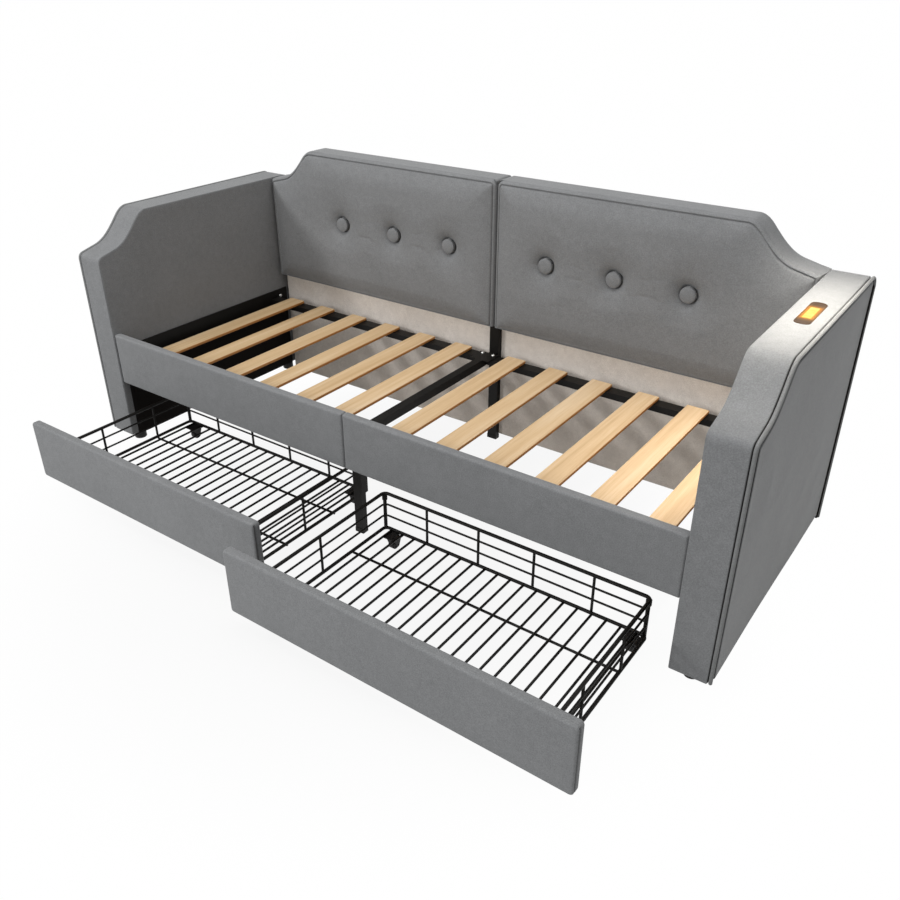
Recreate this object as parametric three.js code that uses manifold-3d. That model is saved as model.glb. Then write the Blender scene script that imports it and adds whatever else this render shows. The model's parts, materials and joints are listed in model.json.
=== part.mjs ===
// Storage daybed: two notched upholstered arms, a tufted back in two halves, a steel frame with
// twelve slats, a front board in two halves and two wire drawers on casters, both pulled out.
// Millimetres, +Z up, floor at z = 0. Seen from the front, +X is to the right and +Y to the back.
import * as THREE from 'three';
import { mergeVertices } from 'three/addons/utils/BufferGeometryUtils.js';
import Module from 'manifold-3d';

const wasm = await Module();
wasm.setup();

// Clearances
const touchGap = 0.3;
const slipGap = 1.2;
const cutOverrun = 2;
const mergeTolerance = 0.0001;

// Seat and arms
const seatLength = 1920;
const armThickness = 103;
const armDepth = 829;
const armBottom = 40;
const armTop = 760;
const notchWidth = 198;
const notchDrop = 114;
const shelfRound = 18;
const armEdgeRound = 5;
const armRearRound = 14;
const weltRadius = 4.5;
const weltInset = 3.5;
const armCurveSteps = 5;
const weltSides = 6;

// Lining on the inner face of each arm
const liningThickness = 1.2;
const liningFront = 24;
const liningRearGap = 3;

// Feet under the arms
const footRadius = 20;
const footInset = 40;
const footFromEdge = 55;
const footSides = 16;

// Back: a board in each half, wrapped by a tufted pad
const backRise = 112;
const backSeamGap = 3;
const padThickness = 94;
const padBottom = 410;
const padCrown = 14;
const padCrownReach = 45;
const padEdgeBand = 38;
const padRound = 11;
const padRoundDepth = 16;
const padEndGap = 0.6;
const padWall = 10;
const boardThickness = 57;
const rearCoverThickness = 7;
const boardBottom = 15;

// Tufting buttons
const buttonRadius = 25;
const buttonDome = 9;
const buttonRim = 4;
const buttonSides = 20;
const buttonDomeSteps = 3;
const buttonFirst = 178;
const buttonOuterInset = 335.4;
const buttonDrop = 224;
const buttonCount = 3;
const tuftReach = 75;
const tuftDepth = 13;
const padLineGap = 16;

// Steel frame
const railWidth = 40;
const railHeight = 20;
const railWall = 1.5;
const railBottom = 302;
const rearRailSetback = 43;
const endRailThickness = 3;
const endRailRise = 49;
const endRailFlange = 34;
const endRailSetback = 3;
const crossTubeWidth = 26;
const crossTubeHeight = 25;
const crossPlateThickness = 3;
const crossPlateWidth = 70;
const crossPlateLap = 24;

// Bolts
const boltHeadRadius = 6;
const boltHeadHeight = 3.5;
const boltShankRadius = 3;
const boltShankLength = 9;
const boltHoleRadius = 3.6;
const boltSides = 12;
const boltDomeSteps = 2;
const boltSpread = 20;
const boltRearInset = 12;
const endBoltFromRear = 33;
const endBoltRise = 23;

// Centre supports
const frontLegWidth = 28;
const frontLegDepth = 20;
const frontLegSetback = 20;
const legBracketThickness = 2.5;
const legBracketDepth = 27;
const legBracketDrop = 168;
const postWidth = 34;
const postDepth = 19;
const postTabWidth = 24;
const postTabHeight = 16;
const capHeight = 14;
const capGrowth = 0.8;

// Slats
const slatCountPerSide = 6;
const slatWidth = 66.8;
const slatThickness = 10;
const slatFirst = 102.6;
const slatOuterInset = 102.4;
const slatRound = 3;
const slatFrontInset = 3;
const slatRearInset = 1.5;

// Front board
const frontBoardFace = 3;
const frontBoardThickness = 24.7;
const frontBoardBottom = 233.5;
const frontBoardTop = 400;
const frontBoardCorner = 11;
const boardSeamGap = 1.2;
const boardEndGap = 3;
const upholsteryRound = 4.5;
const cornerSteps = 2;
const roundSteps = 2;

// Drawers
const drawerInnerGap = 7.5;
const drawerOuterGap = 4.5;
const drawerFrontThickness = 26;
const drawerBottom = 45;
const drawerTopGap = 3.5;
const drawerCorner = 11;
const leftDrawerPull = 333;
const rightDrawerPull = 446;

// Wire baskets
const basketEndInset = 76;
const basketDepth = 479;
const basketFloor = 44;
const basketRim = 158;
const rimRadius = 4;
const cornerPostRadius = 4.5;
const postRadius = 3;
const floorWireRadius = 2.7;
const sideWireRadius = 2.3;
const middleWireDrops = [72.5, 36];
const basketCorner = 14;
const floorWireCount = 20;
const floorWireMargin = 26.55;
const endPostCount = 4;
const endPostMargin = 147.5;
const sidePostPitch = 193;
const sidePostFromRear = 140;
const innerPostFromRear = 260;
const clipRadius = 7;
const clipHeight = 18;
const rimSides = 6;
const wireSides = 5;
const floorWireSides = 4;
const clipSides = 8;

// Casters
const wheelRadius = 15;
const wheelWidth = 18;
const wheelSides = 16;
const axleRadius = 2.2;
const axleHoleRadius = 2.9;
const axleHoleSides = 8;
const casterPlateLength = 46;
const casterPlateDepth = 42;
const casterPlateThickness = 3;
const casterHoleRadius = 4;
const casterHoleAside = 12;
const casterHoleInY = 7.5;
const casterFromLeft = 43;
const casterFromRight = 27;
const casterInY = 18;
const cheekThickness = 5;
const cheekFoot = 6;
const cheekSteps = 3;
const hoodDepth = 27;
const weldDepth = 0.6;

// Arm lamp
const lampLength = 160;
const lampWidth = 38;
const lampCorner = 15;
const lampDepth = 12;
const lampLip = 1.2;
const lampFromFront = 457;
const lampFromInside = 48;
const glowLength = 75;
const glowWidth = 20;
const glowDepth = 5;

// Sizes that follow from the ones above
const seatHalf = seatLength / 2;
const armOutside = seatHalf + armThickness;
const shelfHeight = armTop - notchDrop;
const backTop = armTop + backRise;
const buttonHeight = backTop - buttonDrop;
const padFace = armDepth - padThickness;
const boardRear = armDepth - rearCoverThickness;
const boardFace = boardRear - boardThickness;
const liningRear = boardFace - liningRearGap;
const railTop = railBottom + railHeight;
const frontRailFace = frontBoardFace + frontBoardThickness + touchGap;
const rearRailRear = boardFace - rearRailSetback;
const rearRailFace = rearRailRear - railWidth;
const endRailRear = boardFace - endRailSetback;
const endRailTop = railBottom + endRailRise;
const endBoltHeight = railBottom + endBoltRise;
const railEnd = seatHalf - endRailThickness - 2 * touchGap;
const slatPitch = (seatHalf - slatOuterInset - slatFirst) / (slatCountPerSide - 1);
const drawerWidth = seatHalf - drawerInnerGap - drawerOuterGap;
const drawerCentre = (seatHalf + drawerInnerGap - drawerOuterGap) / 2;
const drawerTop = frontBoardBottom - drawerTopGap;
const basketHalfWidth = drawerWidth / 2 - basketEndInset;
const floorWirePitch = 2 * (basketHalfWidth - floorWireMargin) / (floorWireCount - 1);
const endPostPitch = 2 * (basketHalfWidth - endPostMargin) / (endPostCount - 1);
const centreY = (armDepth + frontBoardFace - rightDrawerPull) / 2;

// Materials
const material = (color, roughness, metalness) =>
  new THREE.MeshStandardMaterial({ color, roughness, metalness });
const fabric = material(0x7a7b7b, 0.95, 0);
const boardLining = material(0xc4b8ac, 0.95, 0);
const blackLining = material(0x14110f, 0.9, 0);
const steel = material(0x1f1d1b, 0.45, 0.7);
const brightSteel = material(0xd8d8d4, 0.3, 0.9);
const plastic = material(0x101010, 0.6, 0);
const pine = material(0xdcbc90, 0.7, 0);
const amber = material(0x8a5a1c, 0.25, 0);
const glow = material(0xffe94a, 0.4, 0);

const daybed = new THREE.Group();
const body = new THREE.Group();
body.position.y = -centreY;
daybed.add(body);

// Closed meshes as solids that can be joined and cut, and back again
function toSolid(geometry) {
  const bare = geometry.clone();
  bare.deleteAttribute('normal');
  bare.deleteAttribute('uv');
  const merged = mergeVertices(bare, mergeTolerance);
  const vertProperties = new Float32Array(merged.attributes.position.array);
  const corners = Array.from(merged.index.array);
  const real = (_, at) => {
    const [a, b, c] = corners.slice(at - (at % 3), at - (at % 3) + 3);
    return a !== b && b !== c && c !== a;
  };
  const triVerts = new Uint32Array(corners.filter(real));
  return new wasm.Manifold(new wasm.Mesh({ numProp: 3, vertProperties, triVerts }));
}

function toGeometry(solid) {
  const mesh = solid.getMesh();
  const geometry = new THREE.BufferGeometry();
  geometry.setAttribute('position', new THREE.BufferAttribute(mesh.vertProperties, 3));
  geometry.setIndex(new THREE.BufferAttribute(mesh.triVerts, 1));
  geometry.computeVertexNormals();
  return geometry;
}

const joined = (solids) => solids.reduce((whole, next) => whole.add(next));

function put(name, solid, finish, parent = body) {
  const mesh = new THREE.Mesh(toGeometry(solid), finish);
  mesh.name = name;
  parent.add(mesh);
  return mesh;
}

// Basic forms
function block(x0, x1, y0, y1, z0, z1) {
  const box = new THREE.BoxGeometry(x1 - x0, y1 - y0, z1 - z0);
  return toSolid(box.translate((x0 + x1) / 2, (y0 + y1) / 2, (z0 + z1) / 2));
}

function rodBetween(from, to, radius, sides) {
  const axis = to.clone().sub(from);
  const rod = new THREE.CylinderGeometry(radius, radius, axis.length(), sides);
  const turn = new THREE.Quaternion().setFromUnitVectors(new THREE.Vector3(0, 1, 0), axis.normalize());
  rod.applyQuaternion(turn);
  const middle = from.clone().add(to).divideScalar(2);
  return toSolid(rod.translate(middle.x, middle.y, middle.z));
}

// A course runs through its knots, so a tube along it has one ring at each knot
class Course extends THREE.Curve {
  constructor(knots, closed) {
    super();
    this.knots = knots;
    this.closed = closed;
    this.spans = closed ? knots.length : knots.length - 1;
  }

  knot(index) {
    const count = this.knots.length;
    const wrapped = this.closed ? (index + count) % count : Math.min(Math.max(index, 0), count - 1);
    return this.knots[wrapped];
  }

  getPoint(share, target = new THREE.Vector3()) {
    const place = share * this.spans;
    const index = Math.min(Math.floor(place), this.spans - 1);
    return target.lerpVectors(this.knot(index), this.knot(index + 1), place - index);
  }

  getPointAt(share, target) {
    return this.getPoint(share, target);
  }

  getTangentAt(share, target = new THREE.Vector3()) {
    const index = Math.round(share * this.spans);
    const before = this.knot(index).clone().sub(this.knot(index - 1)).normalize();
    const after = this.knot(index + 1).clone().sub(this.knot(index)).normalize();
    return target.copy(before.add(after)).normalize();
  }
}

function openTube(knots, radius, sides) {
  const section = new THREE.Shape(Array.from({ length: sides }, (_, index) => {
    const angle = (2 * Math.PI * index) / sides;
    return new THREE.Vector2(radius * Math.cos(angle), radius * Math.sin(angle));
  }));
  const extrudePath = new Course(knots, false);
  return toSolid(new THREE.ExtrudeGeometry(section, { steps: extrudePath.spans, extrudePath }));
}

function closedTube(knots, radius, sides) {
  const course = new Course(knots, true);
  return toSolid(new THREE.TubeGeometry(course, course.spans, radius, sides, true));
}

function roundedRectangle(x0, x1, y0, y1, radius) {
  const shape = new THREE.Shape();
  shape.absarc(x1 - radius, y1 - radius, radius, 0, Math.PI / 2, false);
  shape.absarc(x0 + radius, y1 - radius, radius, Math.PI / 2, Math.PI, false);
  shape.absarc(x0 + radius, y0 + radius, radius, Math.PI, 1.5 * Math.PI, false);
  shape.absarc(x1 - radius, y0 + radius, radius, 1.5 * Math.PI, 2 * Math.PI, false);
  return shape;
}

// Extrusions whose outline lies in the side view (y, z), the front view (x, z) or the plan (x, y)
function alongX(shape, x0, x1, options) {
  const form = new THREE.ExtrudeGeometry(shape, { depth: x1 - x0, bevelEnabled: false, ...options });
  const turn = new THREE.Matrix4().makeBasis(
    new THREE.Vector3(0, 1, 0), new THREE.Vector3(0, 0, 1), new THREE.Vector3(1, 0, 0));
  return toSolid(form.applyMatrix4(turn).translate(x0, 0, 0));
}

function alongY(shape, y0, y1, options) {
  const form = new THREE.ExtrudeGeometry(shape, { depth: y1 - y0, bevelEnabled: false, ...options });
  return toSolid(form.rotateX(Math.PI / 2).translate(0, y1, 0));
}

function alongZ(shape, z0, z1, options) {
  const form = new THREE.ExtrudeGeometry(shape, { depth: z1 - z0, bevelEnabled: false, ...options });
  return toSolid(form.translate(0, 0, z0));
}

// Rounding on both ends of an extrusion, kept inside its outline and its length
function softEdges(radius, curveSegments) {
  return {
    bevelEnabled: true,
    bevelThickness: radius,
    bevelSize: radius,
    bevelOffset: -radius,
    bevelSegments: roundSteps,
    curveSegments,
  };
}

const mirrored = (solid) => {
  const geometry = toGeometry(solid);
  geometry.scale(-1, 1, 1);
  geometry.index.array.reverse();
  return toSolid(geometry);
};

const sided = (side, solid) => (side > 0 ? solid : mirrored(solid));

// Each side's word and sign
const sides = [['left', -1], ['right', 1]];

// The notch that both the arms and the back share: a shelf that rises into the top
const notchStartShare = [0.08, 0.035];
const notchShelfShare = [0.3, 0.13];
const notchSweepShares = [[0.48, 0.2], [0.6, 0.42], [0.76, 0.74]];
const notchCrestShares = [[0.88, 1], [1, 1]];

function drawNotch(shape, corner, along, up) {
  const at = ([alongShare, upShare]) => [corner.x + along * alongShare, corner.y + up * upShare];
  shape.lineTo(...at(notchStartShare));
  shape.lineTo(...at(notchShelfShare));
  shape.bezierCurveTo(...notchSweepShares.flatMap(at));
  shape.quadraticCurveTo(...notchCrestShares.flatMap(at));
}

// Arms
function armOutline() {
  const shape = new THREE.Shape();
  const corner = new THREE.Vector2(0, shelfHeight);
  shape.moveTo(0, armBottom);
  shape.lineTo(0, shelfHeight - shelfRound);
  shape.quadraticCurveTo(0, shelfHeight, notchStartShare[0] * notchWidth,
    shelfHeight + notchStartShare[1] * notchDrop);
  drawNotch(shape, corner, notchWidth, notchDrop);
  shape.lineTo(armDepth - armRearRound, armTop);
  shape.quadraticCurveTo(armDepth, armTop, armDepth, armTop - armRearRound);
  shape.lineTo(armDepth, armBottom);
  return shape;
}

// Points of an open outline moved towards its inner, right-hand side
function insetPoints(points, distance) {
  return points.map((point, index) => {
    const before = points[Math.max(index - 1, 0)];
    const after = points[Math.min(index + 1, points.length - 1)];
    const run = after.clone().sub(before).normalize();
    return new THREE.Vector2(point.x + run.y * distance, point.y - run.x * distance);
  });
}

function welt() {
  const edge = insetPoints(armOutline().getPoints(armCurveSteps), weltInset);
  const knots = edge.map((point) => new THREE.Vector3(armOutside - weltRadius, point.x, point.y));
  return openTube(knots, weltRadius, weltSides);
}

function lampOutline(growth) {
  const middleX = seatHalf + lampFromInside;
  const halfWidth = lampWidth / 2 + growth;
  const halfLength = lampLength / 2 + growth;
  return roundedRectangle(middleX - halfWidth, middleX + halfWidth,
    lampFromFront - halfLength, lampFromFront + halfLength, lampCorner + growth);
}

function buildArm(name, side) {
  const rounding = softEdges(armEdgeRound, armCurveSteps);
  const panelFace = armOutside - weltRadius;
  const core = alongX(armOutline(), seatHalf + armEdgeRound, panelFace - armEdgeRound, rounding);
  let arm = core.add(welt()).subtract(endBoltHole(seatHalf + boltShankLength));
  if (side > 0) {
    const recess = alongZ(lampOutline(0), armTop - lampDepth, armTop + cutOverrun,
      { curveSegments: cornerSteps });
    arm = arm.subtract(recess);
  }
  put(`arm_${name}`, sided(side, arm), fabric);
  const liningFace = seatHalf - touchGap;
  const lining = block(liningFace - liningThickness, liningFace, liningFront, liningRear,
    armBottom, railBottom - endRailThickness - 2 * touchGap);
  put(`arm_lining_${name}`, sided(side, lining), blackLining);
}

function buildFoot(name, side, end, y) {
  const foot = new THREE.CylinderGeometry(footRadius, footRadius, armBottom - touchGap, footSides);
  foot.rotateX(Math.PI / 2).translate(side * (seatHalf + footInset), y, (armBottom - touchGap) / 2);
  put(`foot_${name}_${end}`, toSolid(foot), plastic);
}

// Back boards and pads, both drawn for the right half and mirrored for the left
const padInner = backSeamGap / 2;
const padOuter = seatHalf - padEndGap;
const backShelf = backTop - notchDrop;

function drawBackTop(shape, outer) {
  shape.lineTo(outer, backShelf);
  drawNotch(shape, new THREE.Vector2(outer, backShelf), -notchWidth, notchDrop);
}

function backOutline(inner, outer, bottom) {
  const shape = new THREE.Shape();
  shape.moveTo(inner, bottom);
  shape.lineTo(outer, bottom);
  drawBackTop(shape, outer);
  shape.lineTo(inner, backTop);
  return shape;
}

const closedPoints = (shape) => {
  const points = shape.getPoints(armCurveSteps);
  const last = points[points.length - 1];
  return last.distanceTo(points[0]) < mergeTolerance ? points.slice(0, -1) : points;
};

// A closed outline drawn counterclockwise, moved outwards or, by a negative distance, inwards
function grownOutline(points, distance) {
  const count = points.length;
  return points.map((point, index) => {
    const before = point.clone().sub(points[(index + count - 1) % count]).normalize();
    const after = points[(index + 1) % count].clone().sub(point).normalize();
    const run = before.clone().add(after).normalize();
    const reach = distance / Math.max(run.dot(after), 0.5);
    return new THREE.Vector2(point.x + run.y * reach, point.y - run.x * reach);
  });
}

function boardSolid(growth) {
  const outline = closedPoints(backOutline(padInner, padOuter, boardBottom - padWall));
  const inset = new THREE.Shape(grownOutline(outline, growth - padWall));
  return alongY(inset, boardFace - growth, boardRear + growth, {});
}

const buttonPitch = (padOuter - buttonOuterInset - buttonFirst) / (buttonCount - 1);
const buttonPlaces = Array.from({ length: buttonCount }, (_, index) => buttonFirst + index * buttonPitch);
const tuftFloor = padFace - padCrown + tuftDepth;
const tuftRingShares = [-1, -0.67, -0.37, 0, 0.37, 0.67, 1];
const tuftRings = tuftRingShares.map((share) => share * tuftReach);
const tuftFlat = tuftRings[4] * Math.SQRT2;

// How far the padding stands out in front of its seam at one place of the face
function padSurface(x, z, edgeDistance) {
  const swell = 1 - Math.exp(-edgeDistance / padCrownReach);
  const crowned = padFace - padCrown * swell;
  const tuft = Math.min(...buttonPlaces.map((place) => Math.hypot(x - place, z - buttonHeight)));
  const rise = THREE.MathUtils.smoothstep(tuft, tuftFlat, tuftReach * Math.SQRT2);
  return THREE.MathUtils.lerp(tuftFloor, crowned, rise);
}

// Lines across the padded face in rising order, with those too close to the last kept one left out
function spacedLines(first, inner, last) {
  const kept = [first];
  [...inner].sort((a, b) => a - b).forEach((line) => {
    if (line - kept[kept.length - 1] > padLineGap && last - line > padLineGap) kept.push(line);
  });
  return kept;
}

// Columns and rows of the padded face: the outline's own points plus lines around each button
function padColumns() {
  const top = new THREE.Shape();
  top.moveTo(padOuter, backShelf);
  drawNotch(top, new THREE.Vector2(padOuter, backShelf), -notchWidth, notchDrop);
  const notch = top.getPoints(armCurveSteps).reverse();
  const lines = buttonPlaces.flatMap((place) => tuftRings.map((ring) => place + ring));
  const plain = spacedLines(padInner, [padInner + padEdgeBand, ...lines], notch[0].x);
  return [...plain.map((x) => new THREE.Vector2(x, backTop)), ...notch];
}

function padRows() {
  const rings = tuftRings.map((ring) => buttonHeight + ring);
  const below = (padBottom + rings[0]) / 2;
  const above = (backTop + rings[rings.length - 1]) / 2;
  const inner = [padBottom + padEdgeBand, below, ...rings, above, backTop - padEdgeBand];
  const heights = [...spacedLines(padBottom, inner, backTop), backTop];
  return heights.map((height) => (height - padBottom) / (backTop - padBottom));
}

// The pad's closed form: a crowned and tufted face, a rounded edge, straight sides and a flat rear
function padForm() {
  const columns = padColumns();
  const rows = padRows();
  const last = columns.length - 1;
  const lastRow = rows.length - 1;
  const across = (i, j) => new THREE.Vector2(columns[i].x,
    THREE.MathUtils.lerp(padBottom, columns[i].y, rows[j]));
  const rim = [];
  for (let i = 0; i < last; i += 1) rim.push([i, 0]);
  for (let j = 0; j < lastRow; j += 1) rim.push([last, j]);
  for (let i = last; i > 0; i -= 1) rim.push([i, lastRow]);
  for (let j = lastRow; j > 0; j -= 1) rim.push([0, j]);
  const full = rim.map(([i, j]) => across(i, j));
  const seam = grownOutline(full, -padRound);
  const seamAt = new Map(rim.map(([i, j], index) => [`${i},${j}`, seam[index]]));
  const positions = [];
  const indices = [];
  const face = columns.map((_, i) => rows.map((__, j) => {
    const onSeam = seamAt.get(`${i},${j}`);
    const spot = onSeam ?? across(i, j);
    const edgeDistance = onSeam ? 0 : Math.min(spot.x - padInner, padOuter - spot.x,
      spot.y - padBottom, columns[i].y - spot.y);
    positions.push(spot.x, padSurface(spot.x, spot.y, edgeDistance), spot.y);
    return positions.length / 3 - 1;
  }));
  for (let i = 0; i < last; i += 1) {
    for (let j = 0; j < lastRow; j += 1) {
      const [a, b, c, d] = [face[i][j], face[i + 1][j], face[i + 1][j + 1], face[i][j + 1]];
      indices.push(a, b, c, a, c, d);
    }
  }
  const rings = [padFace + padRoundDepth, armDepth].map((y) => full.map((spot) => {
    positions.push(spot.x, y, spot.y);
    return positions.length / 3 - 1;
  }));
  const edge = rim.map(([i, j]) => face[i][j]);
  [[edge, rings[0]], [rings[0], rings[1]]].forEach(([front, rear]) => {
    front.forEach((_, index) => {
      const next = (index + 1) % front.length;
      indices.push(front[index], rear[index], rear[next], front[index], rear[next], front[next]);
    });
  });
  THREE.ShapeUtils.triangulateShape(full, []).forEach(([a, b, c]) => {
    indices.push(rings[1][a], rings[1][c], rings[1][b]);
  });
  const form = new THREE.BufferGeometry();
  form.setAttribute('position', new THREE.Float32BufferAttribute(positions, 3));
  form.setIndex(indices);
  return toSolid(form);
}

function padSolid() {
  const rearCover = block(padInner + padWall, padOuter - padWall, boardRear + touchGap, armDepth,
    boardBottom, padBottom + padWall);
  return padForm().subtract(boardSolid(touchGap)).add(rearCover);
}

function buildBack(name, side) {
  put(`back_board_${name}`, sided(side, boardSolid(0)), boardLining);
  put(`back_pad_${name}`, sided(side, padSolid()), fabric);
}

// Covered buttons, a low dome on a short rim
function buildButton(name, side, place, index) {
  const dome = Array.from({ length: buttonDomeSteps }, (_, step) => {
    const angle = (step / buttonDomeSteps) * (Math.PI / 2);
    const rise = (buttonDome - buttonRim) * Math.sin(angle);
    return new THREE.Vector2(buttonRadius * Math.cos(angle), buttonRim + rise);
  });
  const profile = [new THREE.Vector2(0, 0), new THREE.Vector2(buttonRadius, 0), ...dome,
    new THREE.Vector2(0, buttonDome)];
  const button = new THREE.LatheGeometry(profile, buttonSides);
  button.rotateX(Math.PI).translate(side * place, tuftFloor - touchGap, buttonHeight);
  put(`button_${name}_${index + 1}`, toSolid(button), fabric);
}

// Bolts with domed heads; each stands on its axis, head up, at the origin
function boltSolid() {
  const dome = Array.from({ length: boltDomeSteps }, (_, step) => {
    const angle = (step / boltDomeSteps) * (Math.PI / 2);
    return new THREE.Vector2(boltHeadRadius * Math.cos(angle), boltHeadHeight * Math.sin(angle));
  });
  const profile = [new THREE.Vector2(0, -boltShankLength),
    new THREE.Vector2(boltShankRadius, -boltShankLength), new THREE.Vector2(boltShankRadius, 0),
    ...dome, new THREE.Vector2(0, boltHeadHeight)];
  return new THREE.LatheGeometry(profile, boltSides).rotateX(Math.PI / 2);
}

const endBoltY = endRailRear - endBoltFromRear;
const endWebInner = seatHalf - touchGap - endRailThickness;

function endBoltHole(reach) {
  const from = new THREE.Vector3(endWebInner - cutOverrun, endBoltY, endBoltHeight);
  return rodBetween(from, new THREE.Vector3(reach, endBoltY, endBoltHeight), boltHoleRadius, boltSides);
}

// Steel rails: an angle along each arm and a box tube across the front and the rear, in two halves
function boxTube(x0, x1, y0, y1, z0, z1, axis) {
  const grown = { x: [x0, x1], y: [y0, y1], z: [z0, z1] };
  Object.entries(grown).forEach(([name, span]) => {
    const change = name === axis ? cutOverrun : -railWall;
    span[0] -= change;
    span[1] += change;
  });
  return block(x0, x1, y0, y1, z0, z1).subtract(block(...grown.x, ...grown.y, ...grown.z));
}

function buildEndRail(name, side) {
  const flangeInner = endWebInner - endRailFlange;
  const bottom = railBottom - touchGap - endRailThickness;
  const web = block(endWebInner, seatHalf - touchGap, frontRailFace, endRailRear, bottom, endRailTop);
  const flange = block(flangeInner, seatHalf - touchGap, frontRailFace, endRailRear,
    bottom, bottom + endRailThickness);
  const rail = web.add(flange).subtract(endBoltHole(seatHalf + cutOverrun));
  put(`end_rail_${name}`, sided(side, rail), steel);
  const bolt = boltSolid().rotateY(-Math.PI / 2).translate(endWebInner - touchGap, endBoltY, endBoltHeight);
  put(`end_rail_bolt_${name}`, sided(side, toSolid(bolt)), brightSteel);
}

const crossBoltY = rearRailRear - boltRearInset;
const crossPlateBottom = railTop + touchGap;
const crossTop = crossPlateBottom + crossPlateThickness;

function crossBoltHole(bottom) {
  const from = new THREE.Vector3(boltSpread, crossBoltY, bottom);
  const to = new THREE.Vector3(boltSpread, crossBoltY, crossTop + cutOverrun);
  return rodBetween(from, to, boltHoleRadius, boltSides);
}

function buildRails(name, side) {
  const inner = touchGap / 2;
  const rear = boxTube(inner, railEnd, rearRailFace, rearRailRear, railBottom, railTop, 'x')
    .subtract(crossBoltHole(railTop - railWall - cutOverrun));
  put(`rear_rail_${name}`, sided(side, rear), steel);
  const front = boxTube(inner, railEnd, frontRailFace, frontRailFace + railWidth,
    railBottom, railTop, 'x');
  put(`front_rail_${name}`, sided(side, front), steel);
  const bolt = boltSolid().translate(boltSpread, crossBoltY, crossTop + touchGap);
  put(`cross_tube_bolt_${name}`, sided(side, toSolid(bolt)), brightSteel);
}

function buildCrossTube() {
  const front = frontRailFace + railWidth + touchGap;
  const rear = rearRailFace - touchGap;
  const tube = boxTube(-crossTubeWidth / 2, crossTubeWidth / 2, front, rear,
    crossTop - crossTubeHeight, crossTop, 'y');
  const plateHalf = crossPlateWidth / 2;
  const frontPlate = block(-plateHalf, plateHalf, frontRailFace, front + crossPlateLap,
    crossPlateBottom, crossTop);
  const rearPlate = block(-plateHalf, plateHalf, rear - crossPlateLap, rearRailRear,
    crossPlateBottom, crossTop);
  const hole = crossBoltHole(crossPlateBottom - cutOverrun);
  const whole = tube.add(frontPlate).add(rearPlate).subtract(hole).subtract(mirrored(hole));
  put('cross_tube', whole, steel);
}

// Supports under the middle of the frame, each an open-topped tube on a plastic cap
function supportTube(width, y0, y1, top) {
  const tube = boxTube(-width / 2, width / 2, y0, y1, capHeight - cutOverrun, top, 'z');
  const capHalf = width / 2 + capGrowth;
  return tube.add(block(-capHalf, capHalf, y0 - capGrowth, y1 + capGrowth, 0, capHeight));
}

function buildSupports() {
  const legFront = frontRailFace + frontLegSetback;
  const legTop = railBottom - touchGap;
  const side = frontLegWidth / 2;
  const bracketTop = crossTop - crossTubeHeight - touchGap;
  const bracket = block(side - weldDepth, side + legBracketThickness, legFront, legFront + legBracketDepth,
    bracketTop - legBracketDrop, bracketTop);
  const leg = supportTube(frontLegWidth, legFront, legFront + frontLegDepth, legTop).add(bracket);
  put('front_support_leg', leg, steel);
  const postRear = boardFace - touchGap;
  const postFront = postRear - postDepth;
  const tabMiddle = (railBottom + railTop) / 2;
  const tab = block(-postTabWidth / 2, postTabWidth / 2, rearRailRear + touchGap, postFront + weldDepth,
    tabMiddle - postTabHeight / 2, tabMiddle + postTabHeight / 2);
  const post = supportTube(postWidth, postFront, postRear, padBottom - slipGap).add(tab);
  put('rear_support_post', post, steel);
}

// Slats across the frame
function buildSlats() {
  const count = 2 * slatCountPerSide;
  for (let index = 0; index < count; index += 1) {
    const step = index < slatCountPerSide ? slatCountPerSide - 1 - index : index - slatCountPerSide;
    const middle = (index < slatCountPerSide ? -1 : 1) * (slatFirst + step * slatPitch);
    const bottom = railTop + touchGap;
    const section = roundedRectangle(middle - slatWidth / 2, middle + slatWidth / 2,
      bottom, bottom + slatThickness, slatRound);
    const slat = alongY(section, frontRailFace + slatFrontInset, rearRailRear - slatRearInset,
      { curveSegments: 1 });
    put(`slat_${String(index + 1).padStart(2, '0')}`, slat, pine);
  }
}

// Upholstered boards with rounded corners and edges
function upholsteredBoard(x0, x1, y0, y1, z0, z1, corner) {
  const outline = roundedRectangle(x0, x1, z0, z1, corner);
  const rounding = softEdges(upholsteryRound, cornerSteps);
  return alongY(outline, y0 + upholsteryRound, y1 - upholsteryRound, rounding);
}

function buildFrontBoard(name, side) {
  const board = upholsteredBoard(boardSeamGap / 2, seatHalf - boardEndGap, frontBoardFace,
    frontRailFace - touchGap, frontBoardBottom, frontBoardTop, frontBoardCorner);
  put(`front_board_${name}`, sided(side, board), fabric);
}

// Wire baskets, drawn with the drawer's middle at x = 0, its outer side at +x and its front rim at y = 0
const sidePosts = [basketDepth - sidePostFromRear, basketDepth - sidePostFromRear - sidePostPitch];
const casterSpots = [['front', 0, 1], ['rear', basketDepth, -1]].flatMap(([end, y, inward]) =>
  [['inner', -1], ['outer', 1]].map(([where, x]) => ({ name: `${end}_${where}`, y, inward, x })));

const evenPlaces = (count, pitch) =>
  Array.from({ length: count }, (_, index) => (index - (count - 1) / 2) * pitch);

function basketLoop(height, radius, loopSides) {
  const outline = roundedRectangle(-basketHalfWidth, basketHalfWidth, 0, basketDepth, basketCorner);
  const knots = outline.getPoints(1).map((point) => new THREE.Vector3(point.x, point.y, height));
  return closedTube(knots, radius, loopSides);
}

function basketPost(x, y, radius, postSides) {
  const foot = new THREE.Vector3(x, y, basketFloor);
  return rodBetween(foot, foot.clone().setZ(basketRim), radius, postSides);
}

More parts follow.
